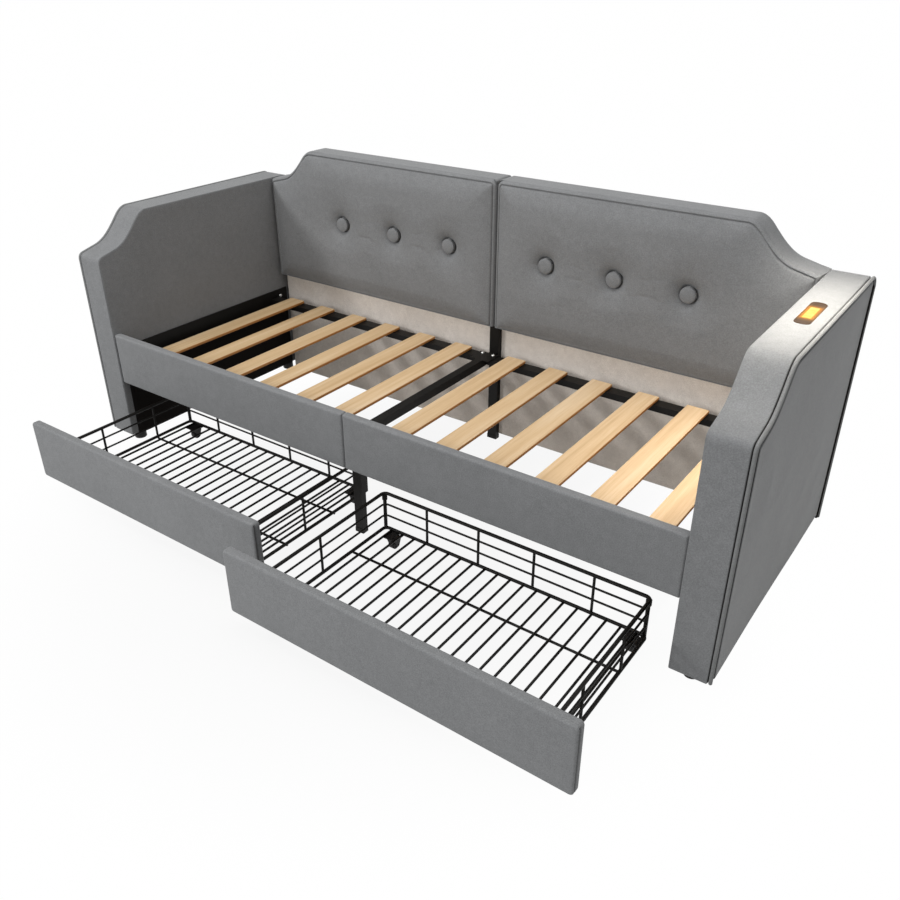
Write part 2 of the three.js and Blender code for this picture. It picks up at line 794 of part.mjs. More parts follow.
function basketCorners() {
  const cut = basketCorner * (1 - Math.SQRT1_2);
  return casterSpots.flatMap((spot) => {
    const x = spot.x * (basketHalfWidth - cut);
    const y = spot.y + spot.inward * cut;
    const clipTop = new THREE.Vector3(x, y, basketRim - rimRadius / 2);
    const clipFoot = clipTop.clone().setZ(clipTop.z - clipHeight);
    const clip = rodBetween(clipFoot, clipTop, clipRadius, clipSides);
    return [basketPost(x, y, cornerPostRadius, rimSides), clip];
  });
}

function basketWalls() {
  const endPlaces = evenPlaces(endPostCount, endPostPitch);
  const endPosts = endPlaces.flatMap((x) =>
    [0, basketDepth].map((y) => basketPost(x, y, postRadius, wireSides)));
  const outerPosts = sidePosts.map((y) => basketPost(basketHalfWidth, y, postRadius, wireSides));
  const innerY = basketDepth - innerPostFromRear;
  const innerPost = basketPost(-basketHalfWidth, innerY, postRadius, wireSides);
  return [...endPosts, ...outerPosts, innerPost];
}

function basketBottom() {
  const wires = evenPlaces(floorWireCount, floorWirePitch).map((x) => {
    const from = new THREE.Vector3(x, 0, basketFloor);
    return rodBetween(from, new THREE.Vector3(x, basketDepth, basketFloor), floorWireRadius, floorWireSides);
  });
  const below = basketFloor - floorWireRadius - postRadius + weldDepth;
  const bearers = sidePosts.map((y) => {
    const from = new THREE.Vector3(-basketHalfWidth, y, below);
    return rodBetween(from, new THREE.Vector3(basketHalfWidth, y, below), postRadius, wireSides);
  });
  return [...wires, ...bearers];
}

// Casters: a plate under the floor wires, a hood and two cheeks that hold the wheel's stub axles
const wheelRoom = wheelWidth / 2 + slipGap;
const hoodHalf = wheelRoom + cheekThickness;
const hoodBottom = 2 * wheelRadius + slipGap;
const casterPlateTop = basketFloor - floorWireRadius + weldDepth;
const casterPlateBottom = casterPlateTop - casterPlateThickness;

function span(from, to) {
  return [Math.min(from, to), Math.max(from, to)];
}

function casterPlate(middleX, inward, holeSide) {
  const half = casterPlateLength / 2;
  const plate = block(middleX - half, middleX + half,
    ...span(inward(0), inward(casterPlateDepth)), casterPlateBottom, casterPlateTop);
  const holeTop = new THREE.Vector3(middleX + holeSide * casterHoleAside, inward(casterHoleInY),
    casterPlateTop + cutOverrun);
  const holeFoot = holeTop.clone().setZ(casterPlateBottom - cutOverrun);
  return plate.subtract(rodBetween(holeFoot, holeTop, casterHoleRadius, axleHoleSides));
}

function casterCheeks(middleX, middleY) {
  const side = new THREE.Shape();
  side.moveTo(middleY - hoodDepth / 2, hoodBottom + weldDepth);
  side.lineTo(middleY - cheekFoot, wheelRadius);
  side.absarc(middleY, wheelRadius, cheekFoot, Math.PI, 2 * Math.PI, false);
  side.lineTo(middleY + hoodDepth / 2, hoodBottom + weldDepth);
  const outside = alongX(side, middleX - hoodHalf, middleX + hoodHalf, { curveSegments: cheekSteps });
  return outside.subtract(block(middleX - wheelRoom, middleX + wheelRoom,
    middleY - hoodDepth, middleY + hoodDepth, 0, hoodBottom));
}

function casterMiddle(spot, side) {
  return spot.x * (basketHalfWidth - (spot.x === side ? casterFromRight : casterFromLeft));
}

function casterHousing(spot, side) {
  const inward = (inset) => spot.y + spot.inward * inset;
  const middleX = casterMiddle(spot, side);
  const middleY = inward(casterInY);
  const hood = block(middleX - hoodHalf, middleX + hoodHalf, middleY - hoodDepth / 2,
    middleY + hoodDepth / 2, hoodBottom, casterPlateBottom + weldDepth);
  const holeEnd = new THREE.Vector3(hoodHalf + cutOverrun, 0, 0);
  const axleMiddle = new THREE.Vector3(middleX, middleY, wheelRadius);
  const bearing = rodBetween(axleMiddle.clone().sub(holeEnd), axleMiddle.clone().add(holeEnd),
    axleHoleRadius, axleHoleSides);
  return joined([casterPlate(middleX, inward, side), hood, casterCheeks(middleX, middleY)]).subtract(bearing);
}

function basketSolid(side) {
  const loops = [
    basketLoop(basketFloor, rimRadius, rimSides),
    basketLoop(basketRim, rimRadius, rimSides),
    ...middleWireDrops.map((drop) => basketLoop(basketRim - drop, sideWireRadius, wireSides)),
  ];
  const casters = casterSpots.map((spot) => casterHousing(spot, side));
  return joined([...loops, ...basketCorners(), ...basketWalls(), ...basketBottom(), ...casters]);
}

function wheelSolid() {
  const tread = new THREE.Vector3(wheelWidth / 2, 0, 0);
  const axleEnd = new THREE.Vector3(hoodHalf, 0, 0);
  const tyre = rodBetween(tread.clone().negate(), tread, wheelRadius, wheelSides);
  return tyre.add(rodBetween(axleEnd.clone().negate(), axleEnd, axleRadius, axleHoleSides));
}

function buildDrawer(name, side, pull) {
  const drawer = new THREE.Group();
  drawer.position.set(side * drawerCentre, -pull, 0);
  body.add(drawer);
  const frontBack = frontBoardFace + drawerFrontThickness;
  const front = upholsteredBoard(-drawerWidth / 2, drawerWidth / 2, frontBoardFace, frontBack,
    drawerBottom, drawerTop, drawerCorner);
  put(`drawer_front_${name}`, front, fabric, drawer);
  const basket = new THREE.Group();
  basket.position.y = frontBack + touchGap + rimRadius;
  drawer.add(basket);
  put(`drawer_basket_${name}`, sided(side, basketSolid(side)), steel, basket);
  casterSpots.forEach((spot) => {
    const wheel = put(`wheel_${name}_${spot.name}`, wheelSolid(), plastic, basket);
    wheel.position.set(side * casterMiddle(spot, side), spot.y + spot.inward * casterInY, wheelRadius);
  });
}

// Lamp let into the top of the right arm
function buildLamp() {
  const middleX = seatHalf + lampFromInside;
  const bed = armTop - lampDepth + touchGap;
  const top = armTop + lampLip;
  const glowBlock = (growth, z0, z1) => {
    const halfWidth = glowWidth / 2 + growth;
    const halfLength = glowLength / 2 + growth;
    return block(middleX - halfWidth, middleX + halfWidth,
      lampFromFront - halfLength, lampFromFront + halfLength, z0, z1);
  };
  const cover = alongZ(lampOutline(-touchGap), bed, top, { curveSegments: cornerSteps })
    .subtract(glowBlock(touchGap, top - glowDepth - touchGap, top + cutOverrun));
  put('lamp_cover', cover, amber);
  put('lamp_light', glowBlock(0, top - glowDepth, top), glow);
}

// The whole daybed
sides.forEach(([name, side]) => {
  buildArm(name, side);
  buildFoot(name, side, 'front', footFromEdge);
  buildFoot(name, side, 'rear', armDepth - footFromEdge);
  buildEndRail(name, side);
  buildRails(name, side);
  buildBack(name, side);
  buttonPlaces.forEach((place, index) => buildButton(name, side, place, index));
  buildFrontBoard(name, side);
});
buildCrossTube();
buildSupports();
buildSlats();
buildDrawer('left', -1, leftDrawerPull);
buildDrawer('right', 1, rightDrawerPull);
buildLamp();

export default daybed;
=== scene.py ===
"""Storage daybed with both wire drawers pulled out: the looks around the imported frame."""

import json
import math

import bpy
import numpy as np
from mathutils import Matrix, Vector


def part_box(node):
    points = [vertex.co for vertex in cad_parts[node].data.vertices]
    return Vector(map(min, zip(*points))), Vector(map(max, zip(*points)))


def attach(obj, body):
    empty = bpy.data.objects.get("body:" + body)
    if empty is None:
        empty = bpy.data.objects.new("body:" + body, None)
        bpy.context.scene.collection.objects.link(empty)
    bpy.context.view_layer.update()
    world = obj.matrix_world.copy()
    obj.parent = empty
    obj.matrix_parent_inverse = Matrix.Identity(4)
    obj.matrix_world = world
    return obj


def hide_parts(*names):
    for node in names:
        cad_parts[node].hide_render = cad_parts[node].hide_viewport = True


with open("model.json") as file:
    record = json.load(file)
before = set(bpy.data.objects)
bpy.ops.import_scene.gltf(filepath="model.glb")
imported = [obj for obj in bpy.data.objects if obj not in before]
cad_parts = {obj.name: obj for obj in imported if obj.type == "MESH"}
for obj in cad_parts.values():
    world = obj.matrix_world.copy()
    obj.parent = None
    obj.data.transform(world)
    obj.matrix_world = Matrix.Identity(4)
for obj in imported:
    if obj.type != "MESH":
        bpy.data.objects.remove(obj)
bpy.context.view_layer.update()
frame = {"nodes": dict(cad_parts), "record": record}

MM = 0.001
SIDES = {"left": -1, "right": 1}

# Pitch of the cloth's grid, and how it closes up round a button
GRID_STEP = 0.006
TUFT_GRID = {"fine": 0.0022, "reach": 0.042}

# Arms, in metres; y is measured from the arms' front faces
ARM_INNER = 0.960
ARM_OUTER = 1.063
ARM_DEPTH = 0.829
ARM_BOTTOM = 0.040
ARM_TOP = 0.760
SHELF_ROUND = 0.018
REAR_ROUND = 0.028
REAR_STAND_OFF = 0.0045
# A black cord down each arm's rear edge, put where that edge lies in shade: radius, inset from the rear,
# stand-off
REAR_SHADE_CORD_RADIUS = 0.0045
REAR_SHADE_CORD_INSET = 0.0105
REAR_SHADE_CORD_STAND_OFF = 0.0010
REAR_FLARE = 0.0035
FLARE_REACH = 0.030
GROOVE_LOOSENESS = {"left": 0.55, "right": 1.0}
ARM_EDGE = 0.003
WELT_RADIUS = 0.0045
WELT_INSET = 0.0030
WELT_LIFT = 0.0045
NOTCH_WIDTH = 0.198
NOTCH_DROP = 0.114
ARM_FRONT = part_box("front_rail_right")[0][1] - 0.028
ARM_ROWS = 110
ARM_INNER_BAND = 0.030
CLOTH_SAG = 0.0004
CLOTH_SAG_LENGTH = 0.2
CLOTH_SAG_FROM = 0.02
REAR_STAND_OFF_DROPS = (0.004, 0.05)

# Back pads and the boards behind them
PAD_INNER = 0.0015
PAD_OUTER = ARM_INNER - 0.0065
PAD_SWELL = 0.0055
PAD_SWELL_REACH = 0.020
PAD_SWELL_DEPTH = 0.030
PAD_BOTTOM = 0.410
PAD_TOP = 0.872
PAD_SEAM_FACE = 0.735
PAD_BORDER_FACE = 0.751
PAD_REAR = 0.829
PAD_SEAM_INSET = 0.011
PAD_CROWN = 0.016
PAD_CROWN_SHARES = ((0.16, 0.005), (0.34, 0.022), (0.50, 0.055))
PAD_TOP_ROUND = 0.009
SEAM_ROUND = 0.018
PAD_REAR_ROUND = 0.009
PAD_TURN_UNDER = 0.009
SEAM_DEPTH = 0.0045
SEAM_WIDTH = 0.0013
# Painted shade along the pads' seams, stronger up the left pad's inner seam and weaker up the right one's,
# and full over a band at each pad's outer side
SEAM_SHADE = 0.2
INNER_SEAM_SHADE = {"left": 0.4, "right": 0.05}
INNER_SEAM_BAND = 0.020
PAD_SIDE_BAND = 0.004
LINING_TOP = 0.740

# Tufting
BUTTON_X = (0.178, 0.401, 0.624)
BUTTON_SHIFT = 0.003
BUTTON_SINK = 0.0018
BUTTON_WIDTH_SHARE = 0.93
BUTTON_HEIGHT = 0.645
SWELL_STRIDE = 3
ROW_SPLIT = 0.700
ROWS_ABOVE = 26
TUFT_DEPTH = 0.0195
TUFT_REACH = 0.020
TUFT_EDGE = 0.0282
TUFT_FOLDS = 0.10
PIT_DEPTH = 0.010
PIT_INSET = 0.002
PIT_WALL = 0.0007
TUFT_HOLD = 0.030

# Camera, fitted to the photograph in the frame's own metres
CAMERA_PLACE = (1.4172, ARM_FRONT - 1.4977, 1.442)
CAMERA_YAW = 0.6175
CAMERA_PITCH = -0.5122
CAMERA_LENS = 34.909
CAMERA_SENSOR = 36.0


def colour_of(value):
    """Linear colour of a written sRGB colour, of a grey from 0 to 1, or of a linear colour."""
    if isinstance(value, tuple):
        return value
    if isinstance(value, float):
        return (value,) * 3 + (1.0,)
    parts = [int(value[i:i + 2], 16) / 255 for i in (1, 3, 5)]
    return tuple(p / 12.92 if p <= 0.04045 else ((p + 0.055) / 1.055) ** 2.4 for p in parts) + (1.0,)


# Materials

# Colour that seams, grooves and gaps are darkened towards: painted shade
PAINTED_SHADE_TONE = "#585552"
FINE_GRAIN = 2.6
NAP_HEIGHT = 0.0009
COAT_ROUGHNESS = 0.5
AMBER_FADE = 42.0


class Nodes:
    """The nodes of a material or of the world: each call adds one node and wires its inputs."""

    def __init__(self, owner, shader="Principled BSDF"):
        owner.use_nodes = True
        self.owner = owner
        self.tree = owner.node_tree
        self.shader = self.tree.nodes[shader]

    def feed(self, socket, value):
        """Gives a socket a value, or another node's output."""
        if isinstance(value, bpy.types.NodeSocket):
            self.tree.links.new(value, socket)
        else:
            socket.default_value = colour_of(value) if socket.type == "RGBA" else value

    def add(self, kind, inputs=None, **values):
        node = self.tree.nodes.new(kind)
        for key, value in values.items():
            setattr(node, key, value)
        for key, value in (inputs or {}).items():
            self.feed(node.inputs[key], value)
        return node

    def place(self, kind="Object"):
        return self.add("ShaderNodeTexCoord").outputs[kind]

    def axes(self, kind="Object"):
        return self.add("ShaderNodeSeparateXYZ", {0: self.place(kind)}).outputs

    def stretch(self, scale):
        return self.add("ShaderNodeMapping", {"Scale": scale, "Vector": self.place()}).outputs["Vector"]

    def noise(self, scale, detail=3.0, roughness=0.55, distortion=0.0, vector=None):
        inputs = {"Scale": scale, "Detail": detail, "Roughness": roughness, "Distortion": distortion,
                  "Vector": vector or self.place()}
        return self.add("ShaderNodeTexNoise", inputs).outputs["Fac"]

    def math(self, operation, first, second=0.0):
        return self.add("ShaderNodeMath", {0: first, 1: second}, operation=operation).outputs[0]

    def total(self, *shares):
        """The sum of values, each given with its share."""
        result = self.math("MULTIPLY", *shares[0])
        for value, share in shares[1:]:
            result = self.math("ADD", result, self.math("MULTIPLY", value, share))
        return result

    def away(self, centre, half=(0.0, 0.0)):
        """Distance in plan from a rectangle, given by its centre and half its sizes."""
        squares = []
        for place, middle, reach in zip(self.axes(), centre, half):
            gap = self.math("ABSOLUTE", self.math("SUBTRACT", place, middle))
            beyond = self.math("MAXIMUM", self.math("SUBTRACT", gap, reach), 0.0)
            squares.append(self.math("MULTIPLY", beyond, beyond))
        return self.math("SQRT", self.math("ADD", *squares))

    def ramp(self, value, *stops):
        """Colours along a value; each stop holds a position and a colour."""
        node = self.add("ShaderNodeValToRGB", {"Fac": value})
        elements = node.color_ramp.elements
        while len(elements) < len(stops):
            elements.new(1.0)
        for element, (position, colour) in zip(elements, stops):
            element.position = position
            element.color = colour_of(colour)
        return node.outputs["Color"]

    def multiply(self, amount, first, second):
        inputs = {0: amount, 6: first, 7: second}
        return self.add("ShaderNodeMix", inputs, data_type="RGBA", blend_type="MULTIPLY").outputs[2]

    def bump(self, height, strength, distance):
        inputs = {"Height": height, "Strength": strength, "Distance": distance}
        self.set(Normal=self.add("ShaderNodeBump", inputs).outputs["Normal"])

    def set(self, **values):
        for key, value in values.items():
            self.feed(self.shader.inputs[key.replace("_", " ")], value)


def new_material(name):
    return Nodes(bpy.data.materials.new(name))


def cloth_material(name, dark, light, grain, sheen, nap):
    """Short-napped cloth: faint mottling under a fine grain that also raises the surface."""
    n = new_material(name)
    broad = n.noise(6.0)
    blotch = n.noise(55.0, detail=4.0, roughness=0.6)
    medium = n.noise(grain, roughness=0.7)
    fine = n.noise(grain * FINE_GRAIN, detail=2.0)
    tone = n.total((broad, 0.10), (blotch, 0.14), (medium, 0.46), (fine, 0.30))
    # Painted shade: the base colour is darkened by each piece's shade attribute, in seams, grooves and gaps
    recess = n.add("ShaderNodeAttribute", attribute_name="recess").outputs["Fac"]
    n.set(Base_Color=n.multiply(recess, n.ramp(tone, (0.38, dark), (0.62, light)), PAINTED_SHADE_TONE),
          Roughness=n.ramp(medium, (0.3, 0.82), (0.7, 0.97)),
          Sheen_Weight=sheen, Sheen_Roughness=0.3, Specular_IOR_Level=0.12)
    n.bump(n.total((medium, 0.6), (fine, 0.4)), nap, NAP_HEIGHT)
    return n.owner


def wood_material(name):
    """Pale planed wood: grain along the slat, painted warm light growing to the right, and painted shade on
    the faces that do not look up.
    """
    n = new_material(name)
    rings = n.noise(1.0, detail=5.0, roughness=0.6, distortion=0.4, vector=n.stretch((58.0, 1.7, 58.0)))
    fibre = n.noise(1.0, roughness=0.7, vector=n.stretch((900.0, 12.0, 900.0)))
    grain = n.ramp(rings, (0.30, "#e2d6c4"), (0.50, "#f2ebdf"), (0.72, "#ffffff"))
    line = n.ramp(fibre, (0.25, "#e6dccb"), (0.55, "#ffffff"))
    # Painted warm light: the boards' colour grows warmer towards the right, where the arm lamp is
    across = n.math("ADD", n.math("MULTIPLY", n.axes()[0], 0.5), 0.5)
    board = n.ramp(across, (0.05, "#cfb795"), (0.45, "#dfc5a2"), (0.70, "#e5cba8"), (0.95, "#e8ceae"))
    colour = n.multiply(0.6, n.multiply(1.0, board, grain), line)
    # Painted shade: faces that do not look up are darkened and warmed
    painted_side_shade = n.math("GREATER_THAN", 0.6, n.math("ABSOLUTE", n.axes("Normal")[2]))
    n.set(Base_Color=n.multiply(painted_side_shade, colour, "#e0b27c"), Roughness=0.55, Specular_IOR_Level=0.3)
    n.bump(n.total((rings, 0.4), (fibre, 1.0)), 0.25, 0.0004)
    return n.owner


def coated_material(name, colour, shine, speckle, depth):
    """Powder coat or moulded plastic: nearly one colour with a fine orange-peel surface."""
    n = new_material(name)
    peel = n.noise(speckle, detail=2.0)
    plain = colour_of(colour)
    worn = tuple(c * 1.3 + 0.002 for c in plain[:3]) + (1.0,)
    n.set(Base_Color=n.ramp(n.noise(14.0), (0.35, plain), (0.75, worn)),
          Roughness=n.ramp(peel, (0.3, COAT_ROUGHNESS - 0.07), (0.7, COAT_ROUGHNESS + 0.08)),
          Specular_IOR_Level=shine)
    n.bump(peel, 0.25, depth)
    return n.owner


def metal_material(name):
    """Bright zinc plate with faint turning marks."""
    n = new_material(name)
    mark = n.noise(1.0, vector=n.stretch((240.0, 240.0, 1600.0)))
    n.set(Base_Color=n.ramp(mark, (0.3, "#c9c9c5"), (0.7, "#ececea")), Metallic=1.0, Roughness=0.3)
    n.bump(mark, 0.15, 0.0002)
    return n.owner


def amber_material(name, centre, panel_half):
    """Smoked amber lens: glows round the lit panel, with its colour also painted lighter near the panel as
    painted light from it, and darkens towards its ends.
    """
    n = new_material(name)
    cloud = n.noise(120.0)
    uneven = n.math("MULTIPLY", n.math("SUBTRACT", cloud, 0.5), 0.10)
    share = n.math("ADD", n.math("MULTIPLY", n.away(centre, panel_half), AMBER_FADE), uneven)
    glow = n.ramp(share, (0.0, "#f0a41f"), (0.12, "#b5751b"), (0.35, "#7a5420"), (0.75, "#54391a"),
                  (1.0, "#4a3217"))
    # Painted light: the base colour is lighter near the panel, as well as the glow
    n.set(Base_Color=n.ramp(share, (0.0, "#6a4010"), (0.4, "#3c2912"), (1.0, "#2a1d10")),
          Emission_Color=glow, Emission_Strength=0.62, Roughness=0.35, Specular_IOR_Level=0.1)
    n.bump(cloud, 0.1, 0.0002)
    return n.owner


def glow_material(name):
    """The lit panel, its light faintly uneven."""
    n = new_material(name)
    cloud = n.noise(60.0, detail=2.0)
    n.set(Base_Color=n.ramp(cloud, (0.3, "#2a2208"), (0.7, "#342a0e")),
          Emission_Color=n.ramp(cloud, (0.3, "#f8e468"), (0.7, "#fff488")),
          Emission_Strength=1.0, Roughness=0.4, Specular_IOR_Level=0.1)
    return n.owner


UPHOLSTERY = cloth_material("grey_upholstery", "#6d6e6f", "#88898a", grain=330.0, sheen=0.40, nap=0.45)
WELT_CLOTH = cloth_material("welt_cloth", "#6c6d6d", "#868787", grain=450.0, sheen=0.40, nap=0.45)
CREAM = cloth_material("cream_lining", "#bab1a8", "#eee6dd", grain=620.0, sheen=0.10, nap=0.35)
BLACK_CLOTH = cloth_material("black_lining", "#0a0706", "#15110e", grain=500.0, sheen=0.02, nap=0.40)
STEEL = coated_material("black_powder_coat", "#0b0907", shine=0.17, speckle=700.0, depth=0.0003)
PLASTIC = coated_material("black_plastic", "#0c0a0a", shine=0.25, speckle=900.0, depth=0.0002)
ZINC = metal_material("zinc_plate")
WOOD = wood_material("pale_wood")


# Mesh helpers

def in_scene(name, data):
    """A new object in the scene."""
    item = bpy.data.objects.new(name, data)
    bpy.context.scene.collection.objects.link(item)
    return item


def new_mesh(name, points, faces):
    mesh = bpy.data.meshes.new(name)
    mesh.from_pydata([tuple(map(float, p)) for p in points], [], [tuple(map(int, f)) for f in faces])
    return mesh


def new_piece(name, points, faces, material, body, slot, recess=None):
    """A smooth piece that rides on a body; the optional shade tells from 0 to 1 how much painted shade each
    point takes in seams, grooves and gaps.
    """
    mesh = new_mesh(name, points, faces)
    mesh.validate()
    mesh.update()
    mesh.materials.append(material)
    mesh.shade_smooth()
    if recess is not None:
        held = mesh.attributes.new("recess", "FLOAT", "POINT")
        held.data.foreach_set("value", np.asarray(recess, np.float32))
    piece = in_scene(name, mesh)
    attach(piece, body)
    return piece


def box_lattice(counts):
    """The skin of a box of cells: its grid points and its outward quads."""
    quads = []
    for axis in range(3):
        u = (axis + 1) % 3
        v = (axis + 2) % 3
        for end in (0, counts[axis]):
            a, b = np.meshgrid(np.arange(counts[u]), np.arange(counts[v]), indexing="ij")
            corner = np.zeros(a.shape + (4, 3), int)
            for n, (du, dv) in enumerate(((0, 0), (1, 0), (1, 1), (0, 1))):
                corner[..., n, u] = a + du
                corner[..., n, v] = b + dv
                corner[..., n, axis] = end
            corner = corner.reshape(-1, 4, 3)
            quads.append(corner if end else corner[:, ::-1])
    points, index = np.unique(np.concatenate(quads).reshape(-1, 3), axis=0, return_inverse=True)
    return points, index.reshape(-1, 4)


EDGE_STEPS = np.array([0.0, 0.4, 1.2, 2.4, 4.0, 6.0, 8.0, 9.8, 10.6, 11.4, 12.4, 15.0, 19.0]) * MM


def spread(low, high, coarse, fine=None, spots=(), reach=1.0):
    """Stations from low to high, closer together around the given spots."""
    places = np.linspace(low, high, 4001)
    density = np.full(len(places), 1 / coarse)
    for spot in spots:
        density += (1 / fine - 1 / coarse) * np.exp(-((places - spot) / reach) ** 4)
    total = np.concatenate([[0], np.cumsum((density[1:] + density[:-1]) / 2)]) * (places[1] - places[0])
    count = max(2, round(total[-1]))
    return np.interp(np.linspace(0, total[-1], count + 1), total, places)


def graded(low, high, step, **finer):
    """Stations from low to high, close together at both ends."""
    middle = spread(low + EDGE_STEPS[-1], high - EDGE_STEPS[-1], step, **finer)
    return np.concatenate([low + EDGE_STEPS, middle[1:-1], high - EDGE_STEPS[::-1]])


def row_places(low, high, count):
    """Heights between two arrays of heights: fixed steps at both ends and even ones between."""
    edge = len(EDGE_STEPS)
    share = np.concatenate([np.zeros(edge), np.linspace(0, 1, count + 1)[1:-1], np.ones(edge)])
    near = EDGE_STEPS - EDGE_STEPS[-1]
    offset = np.concatenate([near, np.zeros(count - 1), -near[::-1]])
    inner = low[:, None] + EDGE_STEPS[-1]
    outer = high[:, None] - EDGE_STEPS[-1]
    return inner * (1 - share) + outer * share + offset


def box_of(node):
    """The low and high corners of a node of the frame, and its middle."""
    low, high = (np.array(corner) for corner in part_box(node))
    return low, high, (low + high) / 2


def block(stations, rows, depths):
    """The skin of a thick outline: its grid, its quads, and each point's place in the outline and depth."""
    grid, quads = box_lattice((len(stations) - 1, rows.shape[1] - 1, len(depths) - 1))
    plane = np.stack([stations[grid[:, 0]], rows[grid[:, 0], grid[:, 1]]], axis=1)
    return grid, quads, plane, depths[grid[:, 2]]


def outline_field(points, loop):
    """Distance from each point to a closed counterclockwise loop, and the loop's inward normal there."""
    edge = np.roll(loop, -1, axis=0) - loop
    length = np.hypot(edge[:, 0], edge[:, 1])
    normal = np.stack([-edge[:, 1], edge[:, 0]], axis=1) / length[:, None]
    corner = normal + np.roll(normal, 1, axis=0)
    corner /= np.hypot(corner[:, 0], corner[:, 1])[:, None]
    best = np.full(len(points), np.inf)
    inward = np.zeros((len(points), 2))
    for n in range(len(loop)):
        offset = points - loop[n]
        share = np.clip(offset @ edge[n] / length[n] ** 2, 0, 1)
        gap = np.hypot(*(offset - share[:, None] * edge[n]).T)
        closer = gap < best - 1e-9
        best[closer] = gap[closer]
        following = corner[(n + 1) % len(loop)]
        inward[closer] = (1 - share[closer, None]) * corner[n] + share[closer, None] * following
    inward /= np.hypot(inward[:, 0], inward[:, 1])[:, None]
    return best, inward


def rounded(plane, depth, gap, inward, near, far, radius):
    """Rounds the edges between an extruded outline and its two ends."""
    to_near = depth - near <= far - depth
    end_gap = np.where(to_near, depth - near, far - depth)
    close = (gap < radius) & (end_gap < radius)
    d = gap - radius
    e = end_gap - radius
    reach = np.maximum(np.hypot(d, e), 1e-9)
    new_gap = np.where(close, radius + radius * d / reach, gap)
    new_end = np.where(close, radius + radius * e / reach, end_gap)
    plane = plane + inward * (new_gap - gap)[:, None]
    depth = np.where(to_near, near + new_end, far - new_end)
    return plane, depth


CREASE_STEPS = np.array([0.0, 0.4, 1.2, 2.4]) * MM
CREASE_PULL = np.array([1.5, 0.7, 0.05, 0.0]) * MM


def creased(plane, depth, gap, inward, end_gap):
    """Draws a sewn edge inwards: gap and end_gap are the distances from the sharp edge before rounding."""
    pull = np.interp(np.maximum(gap, end_gap), CREASE_STEPS, CREASE_PULL)
    return plane + inward * pull[:, None], depth + pull


# How the cloth turns in beside the piping: distance from the sharp edge, then where the cloth
# lies instead, as distance from the outline and depth under the face
STRIP_TURN = np.array([(0.0, 6.0, 4.4), (0.4, 5.6, 4.8), (1.2, 4.9, 5.3), (2.4, 4.0, 5.9), (4.0, 2.8, 6.6),
                       (6.0, 1.3, 7.3), (8.0, 0.25, 8.4), (9.8, 0.0, 9.8)]) * MM
PANEL_TURN = np.array([(0.0, 6.0, 4.8), (0.4, 7.2, 5.2), (1.2, 8.8, 5.2), (2.4, 10.2, 4.9), (4.0, 11.0, 3.6),
                       (6.0, 11.5, 1.8), (8.0, 12.0, 0.2), (9.8, 12.8, -0.8), (10.6, 13.4, -1.2),
                       (11.4, 14.2, -1.4), (12.4, 15.0, -1.5), (15.0, 17.0, -1.5), (19.0, 19.0, -1.5)]) * MM
PANEL_RISE = 0.0015
PANEL_RISE_FRONT = 0.0052
# Painted shade in the piping's groove: the distance over which it comes in, and how it grows along the
# upright front and rear edges
GROOVE_SHADE = 0.0022
GROOVE_STEEPNESS = (0.35, 0.65)


def piped(plane, depth, gap, inward, face, looseness):
    """Turns the edge round the outer face into the piping's rebate, and gives the painted shade in its
    groove.
    """
    under = face - depth
    strip = (gap < 1e-5) & (under < STRIP_TURN[-1, 0])
    panel = (under < 1e-9) & ~strip
    new_gap = gap.copy()
    new_under = under.copy()
    new_gap[strip] = looseness * np.interp(under[strip], STRIP_TURN[:, 0], STRIP_TURN[:, 1])
    new_under[strip] = np.interp(under[strip], STRIP_TURN[:, 0], STRIP_TURN[:, 2])
    turned = np.interp(gap[panel], PANEL_TURN[:, 0], PANEL_TURN[:, 1])
    new_gap[panel] = np.where(gap[panel] < PANEL_TURN[-1, 0], turned, gap[panel])
    new_under[panel] = np.interp(gap[panel], PANEL_TURN[:, 0], PANEL_TURN[:, 2])
    rise = np.interp(plane[:, 0], [0.0, ARM_DEPTH * 0.6], [PANEL_RISE_FRONT, PANEL_RISE]) / PANEL_RISE
    new_under[panel] *= np.where(new_under[panel] < 0, rise[panel], 1)
    # Painted shade on the turned strip and on the groove's wall
    recess = np.where(strip, np.clip(new_gap / GROOVE_SHADE - 0.3, 0, 1) * looseness, 0)
    steep = GROOVE_STEEPNESS[0] + GROOVE_STEEPNESS[1] * np.abs(inward[:, 0])
    wall = np.clip((new_under + PANEL_RISE * rise) / GROOVE_SHADE, 0, 1) * steep
    recess = np.where(panel, wall, recess)
    return plane + inward * (new_gap - gap)[:, None], face - new_under, recess


WAVES = 28
CURVE_STEPS = 14


def ripples(points, seed, wavelength, amount):
    """Smooth seeded unevenness over points in space."""
    random = np.random.default_rng(seed)
    total = np.zeros(len(points))
    for _ in range(WAVES):
        direction = random.normal(size=3)
        direction *= 2 * math.pi / (wavelength * random.uniform(0.6, 1.8) * np.linalg.norm(direction))
        total += np.sin(points @ direction + random.uniform(0, 2 * math.pi))
    return total * amount / math.sqrt(WAVES / 2)


def curve_points(*segments):
    """Points along straight, quadratic and cubic stretches, given by their control points."""
    places = []
    for control in segments:
        for t in (0, 1) if len(control) == 2 else np.linspace(0, 1, CURVE_STEPS):
            level = np.array(control, float)
            while len(level) > 1:
                level = level[:-1] * (1 - t) + level[1:] * t
            if not places or np.hypot(*(level[0] - places[-1])) > 1e-6:
                places.append(level[0])
    return np.array(places)


# The notch shape that the arms and the back share, as in the frame
NOTCH_SHARES = ((0.08, 0.035), (0.3, 0.13), (0.48, 0.2), (0.6, 0.42), (0.76, 0.74), (0.88, 1.0), (1.0, 1.0))


